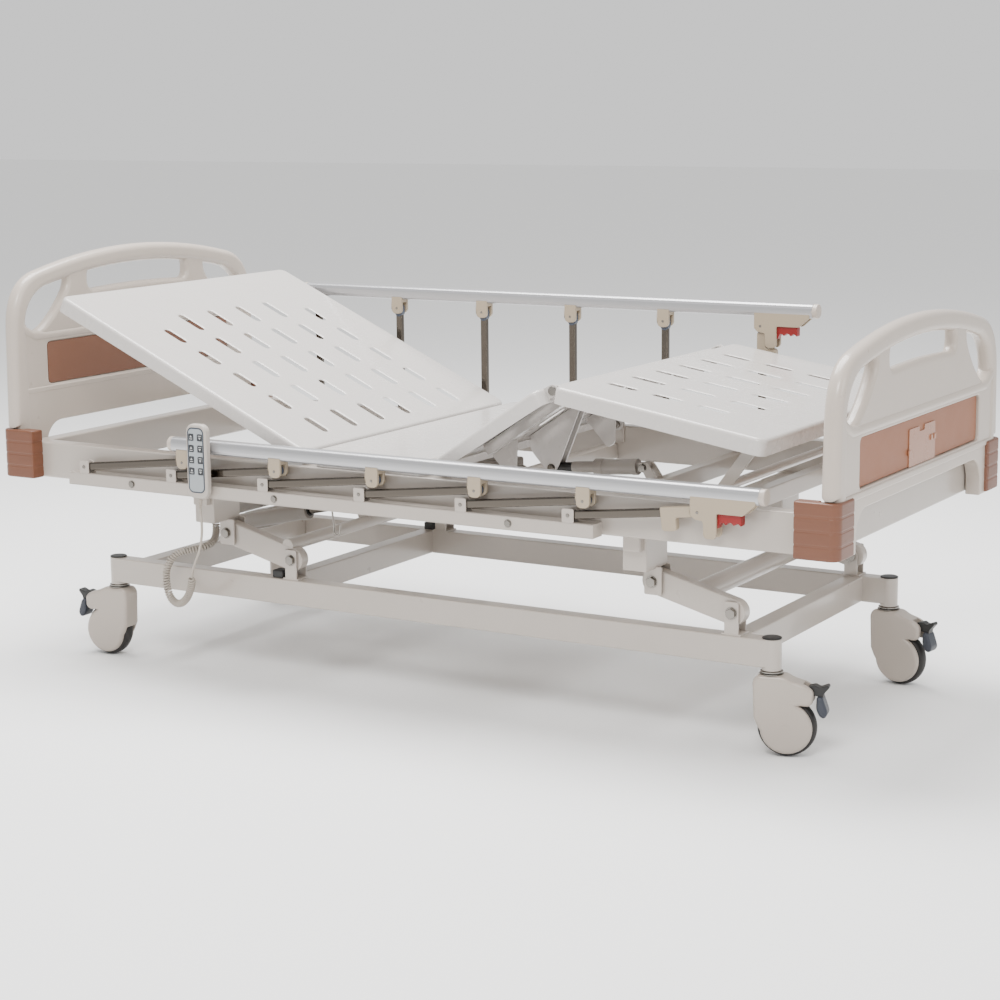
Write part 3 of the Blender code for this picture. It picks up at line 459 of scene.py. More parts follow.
def helix_round(route, radius, pitch, per_turn=14):
    """Helix of one radius along a route, which tapers onto the route at its start."""
    step = pitch / per_turn
    path = smooth_route(route, step)
    normal = (path[1] - path[0]).orthogonal().normalized()
    points = []
    for index, point in enumerate(path):
        nearby = path[min(index + 1, len(path) - 1)] - path[max(index - 1, 0)]
        tangent = nearby.normalized()
        normal = (normal - tangent * normal.dot(tangent)).normalized()
        other = tangent.cross(normal)
        angle = 2 * math.pi * index / per_turn
        grown = radius * min(1.0, index / per_turn, (len(path) - 1 - index) / per_turn)
        points.append(point + normal * grown * math.cos(angle) + other * grown * math.sin(angle))
    return points


def wire(name, points, radius, material, resolution=3):
    curve = bpy.data.curves.new(name, "CURVE")
    curve.dimensions = "3D"
    curve.bevel_depth = radius
    curve.bevel_resolution = resolution
    curve.use_fill_caps = True
    spline = curve.splines.new("POLY")
    spline.points.add(len(points) - 1)
    for point, place in zip(spline.points, points):
        point.co = (*place, 1)
    spline.use_smooth = True
    curve.materials.append(material)
    return linked(name, curve)


def make_cords():
    lead_points = smooth_route(CORD_ROUTE, 0.006)
    lead = wire("handset_lead", lead_points, CORD_RADIUS, CORD)
    coil_points = helix_round(COIL_ROUTE, COIL_OUTER - COIL_WIRE, COIL_PITCH)
    coil = wire("handset_curly_cord", coil_points, COIL_WIRE, CORD, 2)
    relief = Shape()
    ribs = [(0.0, 0.005), (0.001, 0.0056)]
    for rib in range(7):
        start, size = 0.003 + rib * 0.0042, 0.0056 - rib * 0.0003
        ribs += [(start, size - 0.0012), (start + 0.0006, size), (start + 0.0024, size),
            (start + 0.003, size - 0.0012)]
    ribs.append((0.034, 0.0032))
    relief.turned([(-along, radius) for along, radius in ribs], (-0.4631, -0.5113, 0.4557), "Z")
    relief_piece = relief.piece("cord_strain_relief", UPPER, CORD)
    attach(lead, UPPER, "handset_cord_straight")
    attach(coil, UPPER, "handset_cord_coil")


make_cords()

# --- base frame
BASE_Y = 0.332
CHEEK_OUTER = 0.0175
POST_X = (-0.866, 0.88)
LIFT_LOW = [pivot("bed_lift"), pivot("foot_arm_pivot")]
LIFT_HIGH = [pivot("upper_frame_pivot"), pivot("upper_frame_pivot") + LIFT_LOW[1] - LIFT_LOW[0]]


def cheeks(shape, bolts, outline, pin, head=0.0065):
    """Two plates beside an actuator's eye, with the heads of the pin that holds it."""
    for side in SIDES:
        shape.web([outline], side, 0.0125, CHEEK_OUTER, 0.0008)
        bolts.hexagon(pin, side, CHEEK_OUTER, CHEEK_OUTER + head, *SMALL_BOLT)


def clevis(shape, bolts, joint, start, end, base):
    """Cheeks for an actuator's rear pin on a cross tube that spans start to end."""
    x, z = pivot(joint).x, pivot(joint).z
    cheeks(shape, bolts, round_corners([(x - 0.012, z + 0.012), (start - 0.004, base),
        (end + 0.004, base), (x + 0.012, z + 0.012)], 0.01), (x, z))


def build_base():
    paint, bolts, caps = Shape(), Shape(), Shape()
    for side in SIDES:
        paint.box(POST_X, hand(side, BASE_Y - 0.02, BASE_Y + 0.02), (0.187, 0.247), 0.003, 3)
        for x in POST_X:
            paint.rod("Z", (x, side * BASE_Y), (0.181, 0.2475), 0.0205, 0.001, 40)
            caps.turned(mm((247.5, 19), (248.5, 20.8), (250, 20.5), (251.2, 18.5), (251.4, 6)),
                (x, side * BASE_Y, 0), "Z")
    for x in mm((-808, -764), (-400, -360), (778, 822)):
        paint.box(x, (-0.315, 0.315), (0.188, 0.246), 0.003, 3)
    for low in LIFT_LOW:
        x, z = low.x, low.z
        for side in SIDES:
            paint.box((x - 0.022, x + 0.022), hand(side, 0.306, 0.3485), (0.246, 0.2508), 0.001)
            paint.web([soft_rectangle((x - 0.016, x + 0.016), (0.248, 0.318), 0.005)], side, 0.344,
                0.348, 0.0008)
            paint.web([ear(x, z, 0.016, 0.248)], side, 0.306, 0.31, 0.0008)
            bolts.hexagon((x, z), side, 0.348, 0.3555, *LARGE_BOLT)
            bolts.hexagon((x, z), side, 0.2985, 0.306, *LARGE_BOLT)
            bolts.rod("Y", (x, z), hand(side, 0.309, 0.345), 0.008)
    for side in SIDES:
        stop_x = (LIFT_LOW[0].x - 0.056, LIFT_LOW[0].x - 0.026)
        caps.box(stop_x, hand(side, 0.314, 0.345), (0.2465, 0.2655), 0.003, 3)
    clevis(paint, bolts, "hilo_actuator_pivot", -0.798, -0.77, 0.242)
    paint.piece("base_frame_painted", "base_frame", PAINT, "base_frame")
    bolts.piece("base_frame_bolts", "base_frame", ZINC)
    caps.piece("base_frame_caps", "base_frame", BLACK)


# --- casters
TRAIL = 0.034
WHEEL_RADIUS = 0.0625
AXLE = (TRAIL, WHEEL_RADIUS)
CASTER_TURNS = {"head_right": 182, "head_left": 120, "foot_right": 14, "foot_left": -7}


def hood_outline():
    points = mm((-34, 82), (-37, 160), (-28, 172.8), (30, 172.8), (44, 164), (74, 156),
        (90.5, 145), (89, 118), (79, 111), (65, 112))
    disc = arc(AXLE, 0.055, 62, -172, 40)
    return [points[0], *round_corners(points, 0.009, 5)[6:-6], points[-1], *disc, (-0.0262, 0.064)]


def build_hood(place):
    """Moulded hood with its wheel space and the notch for the pedal."""
    space, notch, hood = Shape(), Shape(), Shape(place)
    space.rod("Y", AXLE, (-0.0172, 0.0172), 0.0664, 0.0, 64)
    space.box((0.05, 0.12), (-0.0172, 0.0172), (-0.01, 0.095), 0.0)
    notch.box((0.068, 0.12), (-0.0125, 0.0125), (0.085, 0.19), 0.0)
    hood.plate([hood_outline()], "Y", (-0.026, 0.026), 0.008, 6, cuts=[space, notch])
    for side in SIDES:
        hood.rod("Y", AXLE, hand(side, 0.025, 0.0263), 0.0085, 0.0005)
    return hood


def build_casters():
    for label, degrees in CASTER_TURNS.items():
        spot = pivot(f"caster_{label}_swivel")
        place = Matrix.Translation((spot.x, spot.y, 0)) @ Matrix.Rotation(math.radians(degrees), 4,
            "Z")
        fork, wheel, pedal = (f"caster_{label}_{part}" for part in ("fork", "wheel", "pedal"))

        hood = build_hood(place)
        hood.piece(f"{fork}_hood", fork, CASTER, fork)

        metal = Shape(place)
        metal.turned(mm((172.2, 23.5), (173.2, 25.2), (175, 25.5), (175.7, 23.5), (176.5, 21.5),
            (177.5, 24), (179.7, 24), (180.6, 22.5), (180.7, 10)), (0, 0, 0), "Z")
        metal.rod("Y", AXLE, (-0.0225, 0.0225), 0.006)
        metal.rod("Y", (0.085, 0.143), (-0.02, 0.02), 0.003)
        metal.piece(f"{fork}_swivel_ring", fork, ZINC)
        Shape(place).turned([(0.1755, 0.0228), (0.1778, 0.0228)], (0, 0, 0),
            "Z").piece(f"{fork}_ball_race", fork, BLACK)

        tyre = Shape(place)
        section = [(-0.0155, 0.0505)]
        section += [(-0.0155 + 0.0155 * (1 - math.cos(t)), 0.0505 + 0.012 * math.sin(t) ** 0.7) for
            t in [math.pi * step / 24 for step in range(1, 24)]]
        section += [(0.0155, 0.0505)]
        tyre.turned(section, (TRAIL, 0, WHEEL_RADIUS), "Y", 72)
        tyre.piece(f"{wheel}_tyre", wheel, TYRE, wheel)
        Shape(place).turned(mm((-15.8, 8), (-15.8, 46), (-15, 49.5), (15, 49.5), (15.8, 46),
            (15.8, 8)), (TRAIL, 0, WHEEL_RADIUS), "Y", 48).piece(f"{wheel}_hub", wheel, CASTER)

        Shape(place).plate([round_corners(mm((96, 133), (95, 106), (103, 90), (113, 86.5),
            (120.5, 98), (113, 120), (108, 133)), 0.007)], "Y", (-0.019, 0.019), 0.006,
            4).piece(f"{pedal}_tail", pedal, PEDAL, pedal)
        Shape(place).plate([round_corners(mm((77, 136), (94.5, 133), (109, 129), (110, 138),
            (122, 152), (119, 157.5), (102, 151), (92, 156), (77, 152)), 0.003)], "Y", (-0.0112,
            0.0112), 0.002, 3).piece(f"{pedal}_top", pedal, BLACK)


# --- lift arms
def build_lift_arms():
    shaft, pin = (-0.3455, 0.3267), (-0.3635, 0.3734)
    for name, low, high in (("head_lift_arm", LIFT_LOW[0], LIFT_HIGH[0]), ("foot_lift_arm",
            LIFT_LOW[1], LIFT_HIGH[1])):
        paint = Shape()
        for side in SIDES:
            paint.web([capsule((low.x, low.z), (high.x, high.z), 0.028, 18), ring((low.x, low.z),
                0.0088), ring((high.x, high.z), 0.0088)], side, 0.313, 0.341, 0.003, 3)
        if name.startswith("head"):
            bolts = Shape()
            paint.rod("Y", shaft, (-0.3405, 0.3405), 0.015, 0.001, 36)
            for side in SIDES:
                paint.web([capsule(shaft, pin, 0.015)], side, 0.0125, 0.0185)
                bolts.hexagon(pin, side, 0.0185, 0.0245, 0.01, 0.0118)
            bolts.piece("head_lift_arm_bolts", name, ZINC)
        else:
            middle = ((low.x + high.x) / 2 - 0.005, (low.z + high.z) / 2 + 0.001)
            paint.rod("Y", middle, (-0.32, 0.32), 0.0225, 0.001, 40)
        paint.piece(f"{name}_painted", name, PAINT, name)


# --- actuators
EYE_WIDTH = (-0.0113, 0.0113)


def build_actuator(label, radius, rod_radius, front, inside, motor, shroud=0.0):
    """Barrel with end cap and gearbox, and the polished rod with its eye."""
    rear = pivot(f"{label}_actuator_pivot")
    axis = Vector(JOINTS[f"{label}_actuator_slide"]["axis"])
    place = at(rear, math.atan2(-axis.z, axis.x))
    body, rod_body = f"{label}_actuator_body", f"{label}_actuator_rod"
    low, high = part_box(rod_body)
    far = max((Vector((x, 0, z)) - Vector((rear.x, 0, rear.z))).dot(axis) for x in (low[0],
        high[0]) for z in (low[2], high[2]))
    reach = far - 0.0125
    barrel = Shape(place)
    barrel.rod("X", (0, 0), (0.024, front - 0.016), radius, 0.002, 40)
    barrel.rod("X", (0, 0), (front - 0.024, front), radius + 0.002, 0.003, 40)
    barrel.rod("X", (0, 0), (0.018, 0.034), radius + 0.001, 0.002, 40)
    barrel.rod("Y", (0, 0), EYE_WIDTH, 0.0115, 0.001)
    barrel.box((0.0, 0.026), EYE_WIDTH, (-0.0105, 0.0105), 0.002)
    if motor:
        barrel.box((0.022, 0.1), (0.004, 0.072), tuple(sorted((-0.026 * motor, 0.022 * motor))),
            0.006, 3)
        barrel.rod("X", (0.046, 0), (0.09, 0.172), 0.0235, 0.004, 40)
    barrel.piece(f"{body}_barrel", body, MOTOR, body, "handset_plastic")
    Shape(place).rod("X", (0, 0), (front, front + 0.003), rod_radius + 0.004,
        0.001).piece(f"{body}_seal", body, BLACK)
    ram = Shape(place)
    ram.rod("X", (0, 0), (front - inside, reach - 0.008), rod_radius, 0.001, 36)
    if not shroud:
        ram.rod("Y", (reach, 0), EYE_WIDTH, 0.0123, 0.001, 36)
    ram.piece(f"{rod_body}_ram", rod_body, STAINLESS_PAINTED_REFLECTION, rod_body)
    if shroud:
        Shape(place).rod("X", (0, 0), (front - 0.056, reach - 0.05), shroud, 0.002,
            40).piece(f"{rod_body}_cover", rod_body, MOTOR)
        end = Shape(place)
        end.rod("X", (0, 0), (reach - 0.05, reach - 0.008), 0.0115, 0.002, 40)
        end.rod("Y", (reach, 0), EYE_WIDTH, 0.0123, 0.001, 36)
        end.piece(f"{rod_body}_eye", rod_body, BLACK)


# --- upper frame
FRAME_X = 1.039
CHANNEL_X = (-0.872, 0.546)
RAIL_PITCH = 0.262
FOOT_PIN = pivot("rail_right_fold")
POSTS = 6


def hinge_ear(shape, bolts, x, z, side, bottom):
    shape.web([ear(x, z, 0.014, bottom)], side, 0.4065, 0.4125, 0.0008)
    bolts.rod("Y", (x, z), hand(side, 0.394, 0.4085), 0.006)
    bolts.hexagon((x, z), side, 0.3895, 0.3965, 0.0095)


def build_upper_frame():
    paint, bolts = Shape(), Shape()
    for side in SIDES:
        paint.box((-FRAME_X, FRAME_X), hand(side, 0.412, 0.452), (0.455, 0.541), 0.0045, 3)
        channel = hand(side, 0.4515, 0.492)
        paint.box(CHANNEL_X, channel, (0.4805, 0.483), 0.001)
        paint.box(CHANNEL_X, channel, (0.453, 0.4555), 0.001)
        paint.box(CHANNEL_X, hand(side, 0.4895, 0.492), (0.453, 0.483), 0.0011)
        for x in (CHANNEL_X[0] + 0.0015, CHANNEL_X[1] - 0.0015):
            paint.box((x - 0.0014, x + 0.0014), hand(side, 0.4517, 0.4918), (0.4532, 0.4828),
                0.001)
        for joint in ("back_raise", "knee_raise"):
            spot = pivot(joint)
            hinge_ear(paint, bolts, spot.x, spot.z, side, 0.5)
        spot = pivot("calf_link_pivot")
        hinge_ear(paint, bolts, spot.x, spot.z, side, 0.46)
        for number in range(POSTS):
            x = FOOT_PIN.x + number * RAIL_PITCH
            paint.web([ear(x, FOOT_PIN.z, 0.014, 0.482, 12)], side, 0.4665, 0.4715, 0.0008)
            front = soft_rectangle((x - 0.014, x + 0.014), (0.482, 0.512), 0.004)
            paint.web([front], side, 0.4896, 0.4925, 0.0006)
            bolts.rod("Y", (x, FOOT_PIN.z), hand(side, 0.47, 0.4918), 0.004)
            bolts.rod("Y", (x, FOOT_PIN.z), hand(side, 0.4915, 0.4942), 0.0042, 0.0012, 20)
        for number in (0.55, 2.12, 4.45):
            x = FOOT_PIN.x + number * RAIL_PITCH
            bolts.hexagon((x, 0.468), side, 0.4918, 0.4958, 0.0075, 0.009)
        for high, stub in zip(LIFT_HIGH, ((-0.568, -0.512), (0.567, 0.623))):
            x, z = high.x, high.z
            paint.box(stub, hand(side, 0.3, 0.4), (0.3725, 0.4585), 0.003, 3)
            for pair in ((0.345, 0.35), (0.304, 0.308)):
                paint.web([soft_rectangle((x - 0.018, x + 0.023), (z - 0.028, 0.376), 0.004)],
                    side, *pair, 0.0008)
            bolts.rod("Y", (x, z), hand(side, 0.3055, 0.348), 0.008)
            bolts.hexagon((x, z), side, 0.35, 0.3575, *LARGE_BOLT)
            bolts.hexagon((x, z), side, 0.2965, 0.304, *LARGE_BOLT)
        end = side * FRAME_X
        paint.box(tuple(sorted((end, end - side * 0.04))), (-0.415, 0.415), (0.456, 0.54), 0.0045,
            3)
    for across, height in (((-0.56, -0.52), (0.417, 0.4605)), ((0.575, 0.615), (0.417, 0.4605)),
            ((-0.345, -0.305), (0.46, 0.497)), ((0.098, 0.128), (0.458, 0.495)), ((0.437, 0.467),
            (0.457, 0.497)), ((0.69, 0.722), (0.457, 0.497))):
        paint.box(across, (-0.416, 0.416), height, 0.003, 3)
    clevis(paint, bolts, "back_actuator_pivot", 0.1, 0.116, 0.47)
    clevis(paint, bolts, "knee_actuator_pivot", 0.44, 0.462, 0.48)
    paint.box((-0.64, -0.53), (-0.26, -0.14), (0.449, 0.4545), 0.001)
    hook = wire("frame_hook", hook_route(), 0.0021, ZINC, 4)
    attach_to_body(hook, UPPER)
    paint.piece("upper_frame_painted", UPPER, PAINT, UPPER)
    bolts.piece("upper_frame_bolts", UPPER, ZINC)

    control = Shape()
    control.box((-0.645, -0.525), (-0.3, -0.1), (0.376, 0.4495), 0.006, 4)
    control.box((-0.6455, -0.5245), (-0.3005, -0.0995), (0.4005, 0.403), 0.001)
    control.piece("control_unit", UPPER, MOTOR)
    Shape().turned(mm((374.8, 8.5), (375.2, 10.5), (377.5, 11)), (-0.605, -0.276, 0),
        "Z").piece("control_unit_socket", UPPER, BLACK)
    Shape().box((-0.476, -0.45), (-0.5004, -0.4915), (0.4575, 0.479), 0.0015).piece("handset_clip",
        UPPER, HANDSET)


def hook_route():
    """J-shaped hook that hangs under the right-hand channel."""
    x, y, top = -0.125, -0.47, 0.4545
    route = [(x, y, top), (x + 0.001, y, top - 0.012), (x + 0.004, y, top - 0.04)]
    route += [(x + 0.004 + 0.008 * (1 - math.cos(t)), y, top - 0.05 - 0.008 * math.sin(t)) for t in
        [math.pi * step / 10 for step in range(1, 10)]]
    route += [(x + 0.02, y, top - 0.046), (x + 0.021, y, top - 0.034)]
    return route


# --- deck sections
BACK_ANGLE = math.radians(24.7)
THIGH_ANGLE = math.radians(33.5)
CALF_ANGLE = math.radians(-9.4)
DECK_HALF = 0.445
RIM = 0.036
HINGE_RIM = 0.012
SHEET = 0.0016
SLOT_WIDTH = 0.02
LUG_PLANES = (0.3985, 0.404)


def deck_panel(place, x, top, slots, end_depths):
    """Pressed sheet: rounded rim, dished slots with rolled edges, one thickness."""
    bm = bmesh.new()
    corner, soft = 0.022, 0.009

    def edge_ring(inset, height):
        radius = max(0.002, corner - inset)
        outline = rounded((x[0] + inset, x[1] - inset), (inset - DECK_HALF, DECK_HALF - inset),
            radius, 7)
        ring_points = []
        for u, v in outline:
            depth = height
            if height < -soft:
                near = min(1.0, max(0.0, (u - x[0]) / 0.03))
                far = min(1.0, max(0.0, (x[1] - u) / 0.03))
                limit = -min(end_depths[0] + (RIM - end_depths[0]) * near,
                    end_depths[1] + (RIM - end_depths[1]) * far)
                depth = max(height, limit)
            ring_points.append(bm.verts.new((u, v, top + depth)))
        return ring_points

    rings = [edge_ring(0.0, -RIM), edge_ring(0.0, -0.022), edge_ring(0.0, -soft)]
    for step in range(1, 7):
        angle = math.pi / 2 * step / 6
        rings.append(edge_ring(soft * (1 - math.cos(angle)), soft * (math.sin(angle) - 1)))
    for first, second in zip(rings, rings[1:]):
        loft(bm, first, second)
    boundary = [bm.edges.get((a, b)) for a, b in zip(rings[-1], rings[-1][1:] + rings[-1][:1])]

    for centre, length, width in slots:
        half = length / 2 - width / 2
        previous = None
        for grow, depth in mm((8, 0), (4.5, -0.3), (2, -0.9), (0.5, -1.6), (0, -2.4)):
            outline = capsule((centre[0] - half, centre[1]), (centre[0] + half, centre[1]),
                width / 2 + grow, 7)
            current = [bm.verts.new((u, v, top + depth)) for u, v in outline]
            if previous is None:
                boundary += [bm.edges.new((a, b)) for a, b in zip(current,
                    current[1:] + current[:1])]
            else:
                loft(bm, previous, current)
            previous = current
    bmesh.ops.triangle_fill(bm, edges=boundary, use_beauty=True, normal=(0, 0, 1))
    bmesh.ops.remove_doubles(bm, verts=bm.verts[:], dist=0.00001)
    bmesh.ops.recalc_face_normals(bm, faces=bm.faces[:])
    upward = sum(face.normal.z * face.calc_area() for face in bm.faces)
    if upward < 0:
        bmesh.ops.reverse_faces(bm, faces=bm.faces[:])
    mesh = bpy.data.meshes.new("panel")
    bm.to_mesh(mesh)
    bm.free()
    source = linked("scratch", mesh)
    sheet = source.modifiers.new("Thickness", "SOLIDIFY")
    sheet.thickness = SHEET
    sheet.offset = -1.0
    solid = evaluated_mesh(source)
    bpy.data.objects.remove(source, do_unlink=True)
    shape = Shape(place)
    shape.add(solid)
    return shape


def slot_rows(columns, start, pitch, count, length):
    return [((start + pitch * row, y), length, SLOT_WIDTH) for row in range(count) for y in
        columns]


def deck_lugs(shape, outline):
    for side in SIDES:
        shape.web([outline, ring((0, 0), 0.007)], side, *LUG_PLANES, 0.0008)


def build_deck():
    top = 0.033
    inner, outer = (-0.172, -0.0575, 0.0575, 0.172), (-0.288, 0.288)

    place = at(pivot("back_raise"), BACK_ANGLE)
    head = 0.0024 - 0.771
    slots = slot_rows(inner, head + 0.192, 0.1228, 5, 0.081)
    slots += slot_rows(outer, head + 0.24, 0.1115, 5, 0.068)
    panel = deck_panel(place, (head, 0.0024), top, slots, (RIM, HINGE_RIM))
    bolts = Shape(place)
    deck_lugs(panel, [*arc((0, 0), 0.014, 0, -180, 14), (-0.03, 0.0315), (0.0015, 0.0315), (0.0015,
        0.02)])
    cheeks(panel, bolts, round_corners(mm((52, -60), (34, -66), (-12, -4), (-30, 30), (0, 30),
        (10, 6)), 0.012), (0.0396, -0.0516), 0.006)
    for y in (-0.23, 0.0, 0.23):
        panel.box((head + 0.02, -0.06), (y - 0.01, y + 0.01), (0.014, 0.03), 0.002)
    panel.piece("back_panel", "back_section", DECK, "back_section")
    bolts.piece("back_bolts", "back_section", ZINC)

    flat = deck_panel(Matrix.Identity(4), (-0.193, 0.105), 0.578, [], (RIM, RIM))
    flat.piece("seat_sheet", UPPER, DECK, "seat_panel")

    place = at(pivot("knee_raise"), -THIGH_ANGLE)
    start, end = 0.004, 0.322
    slots = slot_rows(inner + outer, start + 0.1, 0.115, 2, 0.078)
    panel = deck_panel(place, (start, end), top, slots, (HINGE_RIM, RIM))
    bolts = Shape(place)
    deck_lugs(panel, [*arc((0, 0), 0.014, 180, 360, 14), (0.03, 0.0315), (-0.0015, 0.0315),
        (-0.0015, 0.02)])
    cheeks(panel, bolts, round_corners(mm((2, -74), (28, -70), (158, 18), (152, 30.5), (2, 30),
        (-10, 0)), 0.012), (0.0146, -0.0613), 0.006)
    knee = (0.338, 0.015)
    for side in SIDES:
        lug = round_corners(mm((290, 12), (330, 2), (350, 6), (350, 26), (330, 30), (290, 30)),
            0.008)
        panel.web([lug], side, 0.4065, 0.4125, 0.0008)
        bolts.rod("Y", knee, hand(side, 0.394, 0.4135), 0.006)
        bolts.rod("Y", knee, hand(side, 0.4125, 0.416), 0.01, 0.0015, 32)
        bolts.hexagon(knee, side, 0.3895, 0.3965, 0.0095)
        wing = round_corners(mm((20, 30), (34, -58), (58, -58), (120, 30)), 0.008)
        panel.web([wing], side, 0.232, 0.236, 0.0008)
        panel.box((0.03, 0.3), hand(side, 0.236, 0.262), (0.004, 0.03), 0.002)
    panel.piece("thigh_panel", "thigh_section", DECK, "thigh_section")
    bolts.piece("thigh_bolts", "thigh_section", ZINC)

    place = at(pivot("calf_hinge"), -CALF_ANGLE)
    slots = slot_rows(inner, 0.103, 0.12, 3, 0.081)
    slots += slot_rows(outer, 0.1, 0.108, 3, 0.07)
    panel = deck_panel(place, (0.016, 0.505), 0.018, slots, (RIM, RIM))
    bolts = Shape(place)
    deck_lugs(panel, [*arc((0, 0), 0.012, 90, 270, 12), (0.03, -0.006), (0.05, 0.015)])
    for side in SIDES:
        arm = round_corners(mm((430, 15), (447, -32), (473, -32), (490, 15)), 0.01)
        panel.web([arm], side, 0.388, 0.3935, 0.0008)
        bolts.hexagon((0.46, -0.02), side, 0.3815, 0.388, 0.0095)
    panel.piece("calf_panel", "calf_section", DECK, "calf_section")
    bolts.piece("calf_bolts", "calf_section", ZINC)

    place = at(pivot("calf_link_pivot"), -math.radians(53.2))
    link = Shape(place)
    for side in SIDES:
        link.web([capsule((0, 0), (0.199, 0), 0.0125), ring((0, 0), 0.007), ring((0.199, 0),
            0.0062)], side, 0.3985, 0.404, 0.001)
    link.rod("Y", (0.1, 0), (-0.4, 0.4), 0.01, 0.001, 32)
    link.piece("calf_link_painted", "calf_link", PAINT, "calf_link")


# --- side rails
RAIL_Y = 0.482
POST_LENGTH = 0.302
TUBE_RISE = 0.04
TUBE_SPAN = (-0.0426, 1.4554)


def tube_section(side):
    """Oval extrusion with a flat lower lip and two shallow lines."""
    points = []
    for step in range(56):
        angle = 2 * math.pi * step / 56
        cosine, sine = math.cos(angle), math.sin(angle)
        power = 0.72
        u = 0.0172 * math.copysign(abs(cosine) ** power, cosine)
        v = 0.0172 * math.copysign(abs(sine) ** power, sine)
        groove = 0.0007 if step in (4, 24, 32, 52) else 0.0
        points.append((side * RAIL_Y + u * (1 - groove / 0.017), TUBE_RISE + v))
    return points


def build_side_rail(label, side, degrees):
    angle = math.radians(degrees)
    names = [f"rail_{label}_post_{n}" for n in range(1, POSTS)] + [f"rail_{label}_latch_post"]
    for number, name in enumerate(names):
        foot = Vector((FOOT_PIN.x + number * RAIL_PITCH, 0, FOOT_PIN.z))
        place = at(foot, -angle)
        Shape(place).web([capsule((0, 0), (POST_LENGTH, 0), 0.009, 10)], side, 0.475, 0.489,
            0.0032, 4).piece(f"{name}_steel", name, STAINLESS_PAINTED_REFLECTION, name)
        if name.endswith("latch_post"):
            Shape(place).web([round_corners(mm((214, 12), (214, -34), (219, -38.5), (243, -38.5),
                (248, -34), (248, -11), (285, -11), (285, 12)), 0.004)], side, 0.4736, 0.4897,
                0.002, 3).piece(f"{name}_hook", name, LATCH)
        Shape(place).web([capsule((POST_LENGTH - 0.012, 0), (POST_LENGTH, 0), 0.0112, 12)], side,
            0.474, 0.4897, 0.002, 2).piece(f"{name}_bush", name, BUSH)

    tube_name = f"rail_{label}_tube"
    top = pivot(f"rail_{label}_tube_pivot")
    place = Matrix.Translation((top.x, 0, top.z))
    Shape(place).plate([tube_section(side)], "X", (TUBE_SPAN[0] + 0.012, TUBE_SPAN[1] - 0.012),
        0.0002, 0).piece(f"{tube_name}_aluminium", tube_name, ALUMINIUM, tube_name)
    caps = Shape(place)
    for end, sign in ((TUBE_SPAN[0], -1), (TUBE_SPAN[1], 1)):
        profile = [(0.0, 0.0173), (0.011, 0.0173)]
        profile += [(0.011 + 0.0025 * math.sin(t), 0.0148 + 0.0025 * math.cos(t)) for t in (0.5,
            1.0, 1.5)]
        shift = end - sign * 0.0135
        caps.turned([(shift + sign * along, radius) for along, radius in profile],
            (0, side * RAIL_Y, TUBE_RISE), "X", 40)
    caps.piece(f"{tube_name}_end_caps", tube_name, BOARD)

    brackets, pins = Shape(place), Shape(place)
    for number in range(POSTS - 1):
        x = number * RAIL_PITCH
        cheek = [(x - 0.016, 0.03), (x - 0.016, -0.004), *arc((x - 0.004, -0.0025), 0.012, 180,
            270, 6), *arc((x + 0.004, -0.0025), 0.012, 270, 360, 6), (x + 0.016, 0.03)]
        for pair in ((0.4655, 0.4733), (0.4904, 0.4985)):
            brackets.web([cheek], side, *pair, 0.0016, 3)
        brackets.box((x - 0.0155, x + 0.0155), hand(side, 0.467, 0.497), (0.015, 0.03), 0.0015)
        pins.rod("Y", (x, 0.0), hand(side, 0.465, 0.4991), 0.0034, 0.0008, 20)
    end = (POSTS - 1) * RAIL_PITCH
    pins.rod("Y", (end, 0.0), hand(side, 0.465, 0.4991), 0.0034, 0.0008, 20)
    housing = shifted(mm((-16.5, 34), (-16.5, -6), (-6, -15), (11, -17), (13, -24), (13, -46),
        (19, -52.5), (36, -52.5), (42, -46), (42, 0.5), (100, 0.5), (127, 24), (127, 34)), end)
    for pair in ((0.4655, 0.4722), (0.4912, 0.4985)):
        brackets.web([round_corners(housing, 0.004)], side, *pair, 0.0016, 3)
    brackets.box((end + 0.02, end + 0.11), hand(side, 0.468, 0.495), (0.019, 0.03), 0.0015)
    brackets.piece(f"{tube_name}_brackets", tube_name, LATCH)
    pins.piece(f"{tube_name}_rivets", tube_name, ZINC)

    lever_name = f"rail_{label}_latch_lever"
    red = Shape(place)
    grip = round_corners(shifted(mm((40, 12), (35.5, -6), (35.5, -29), (39, -31), (43, -30),
        (48, -18.5), (53, -17), (59, -22.5), (65, -16.5), (71, -16.5), (77, -22.5), (83, -16.5),
        (87, -17.5), (92, -22.5), (94, -20), (94, -1), (72, 12)), end), 0.0022, 3)
    red.web([grip], side, 0.4722, 0.4908, 0.0018, 3)
    red.piece(f"{lever_name}_grip", lever_name, RED, lever_name)


# --- end boards
def crown(apex, y):
    return apex - 0.3 * y * y


def below(apex, points):
    """Outline points from (y, drop below the apex) pairs."""
    return [(y, apex - drop) for y, drop in points]


def shoulder_curve(apex, inset, steps=12):
    """From the side up round the shoulder, at an inset from the board's edge."""
    side = Vector((0.472 - inset, apex - 0.17))
    corner = Vector((0.4665 - inset, apex - 0.063 - inset))
    top_y = 0.375 - 0.4 * inset
    top = Vector((top_y, crown(apex, top_y) - inset))
    points = []
    for step in range(steps + 1):
        t = step / steps
        points.append(tuple(side * (1 - t) ** 2 + corner * 2 * t * (1 - t) + top * t * t))
    return points


def mirrored(right, apex, inset, count=14):
    """Right half, then the crown, then the left half."""
    reach = right[-1][0]
    across = [reach * (1 - 2 * step / count) for step in range(1, count)]
    middle = [(y, crown(apex, y) - inset) for y in across]
    return right + middle + [(-y, z) for y, z in reversed(right)]


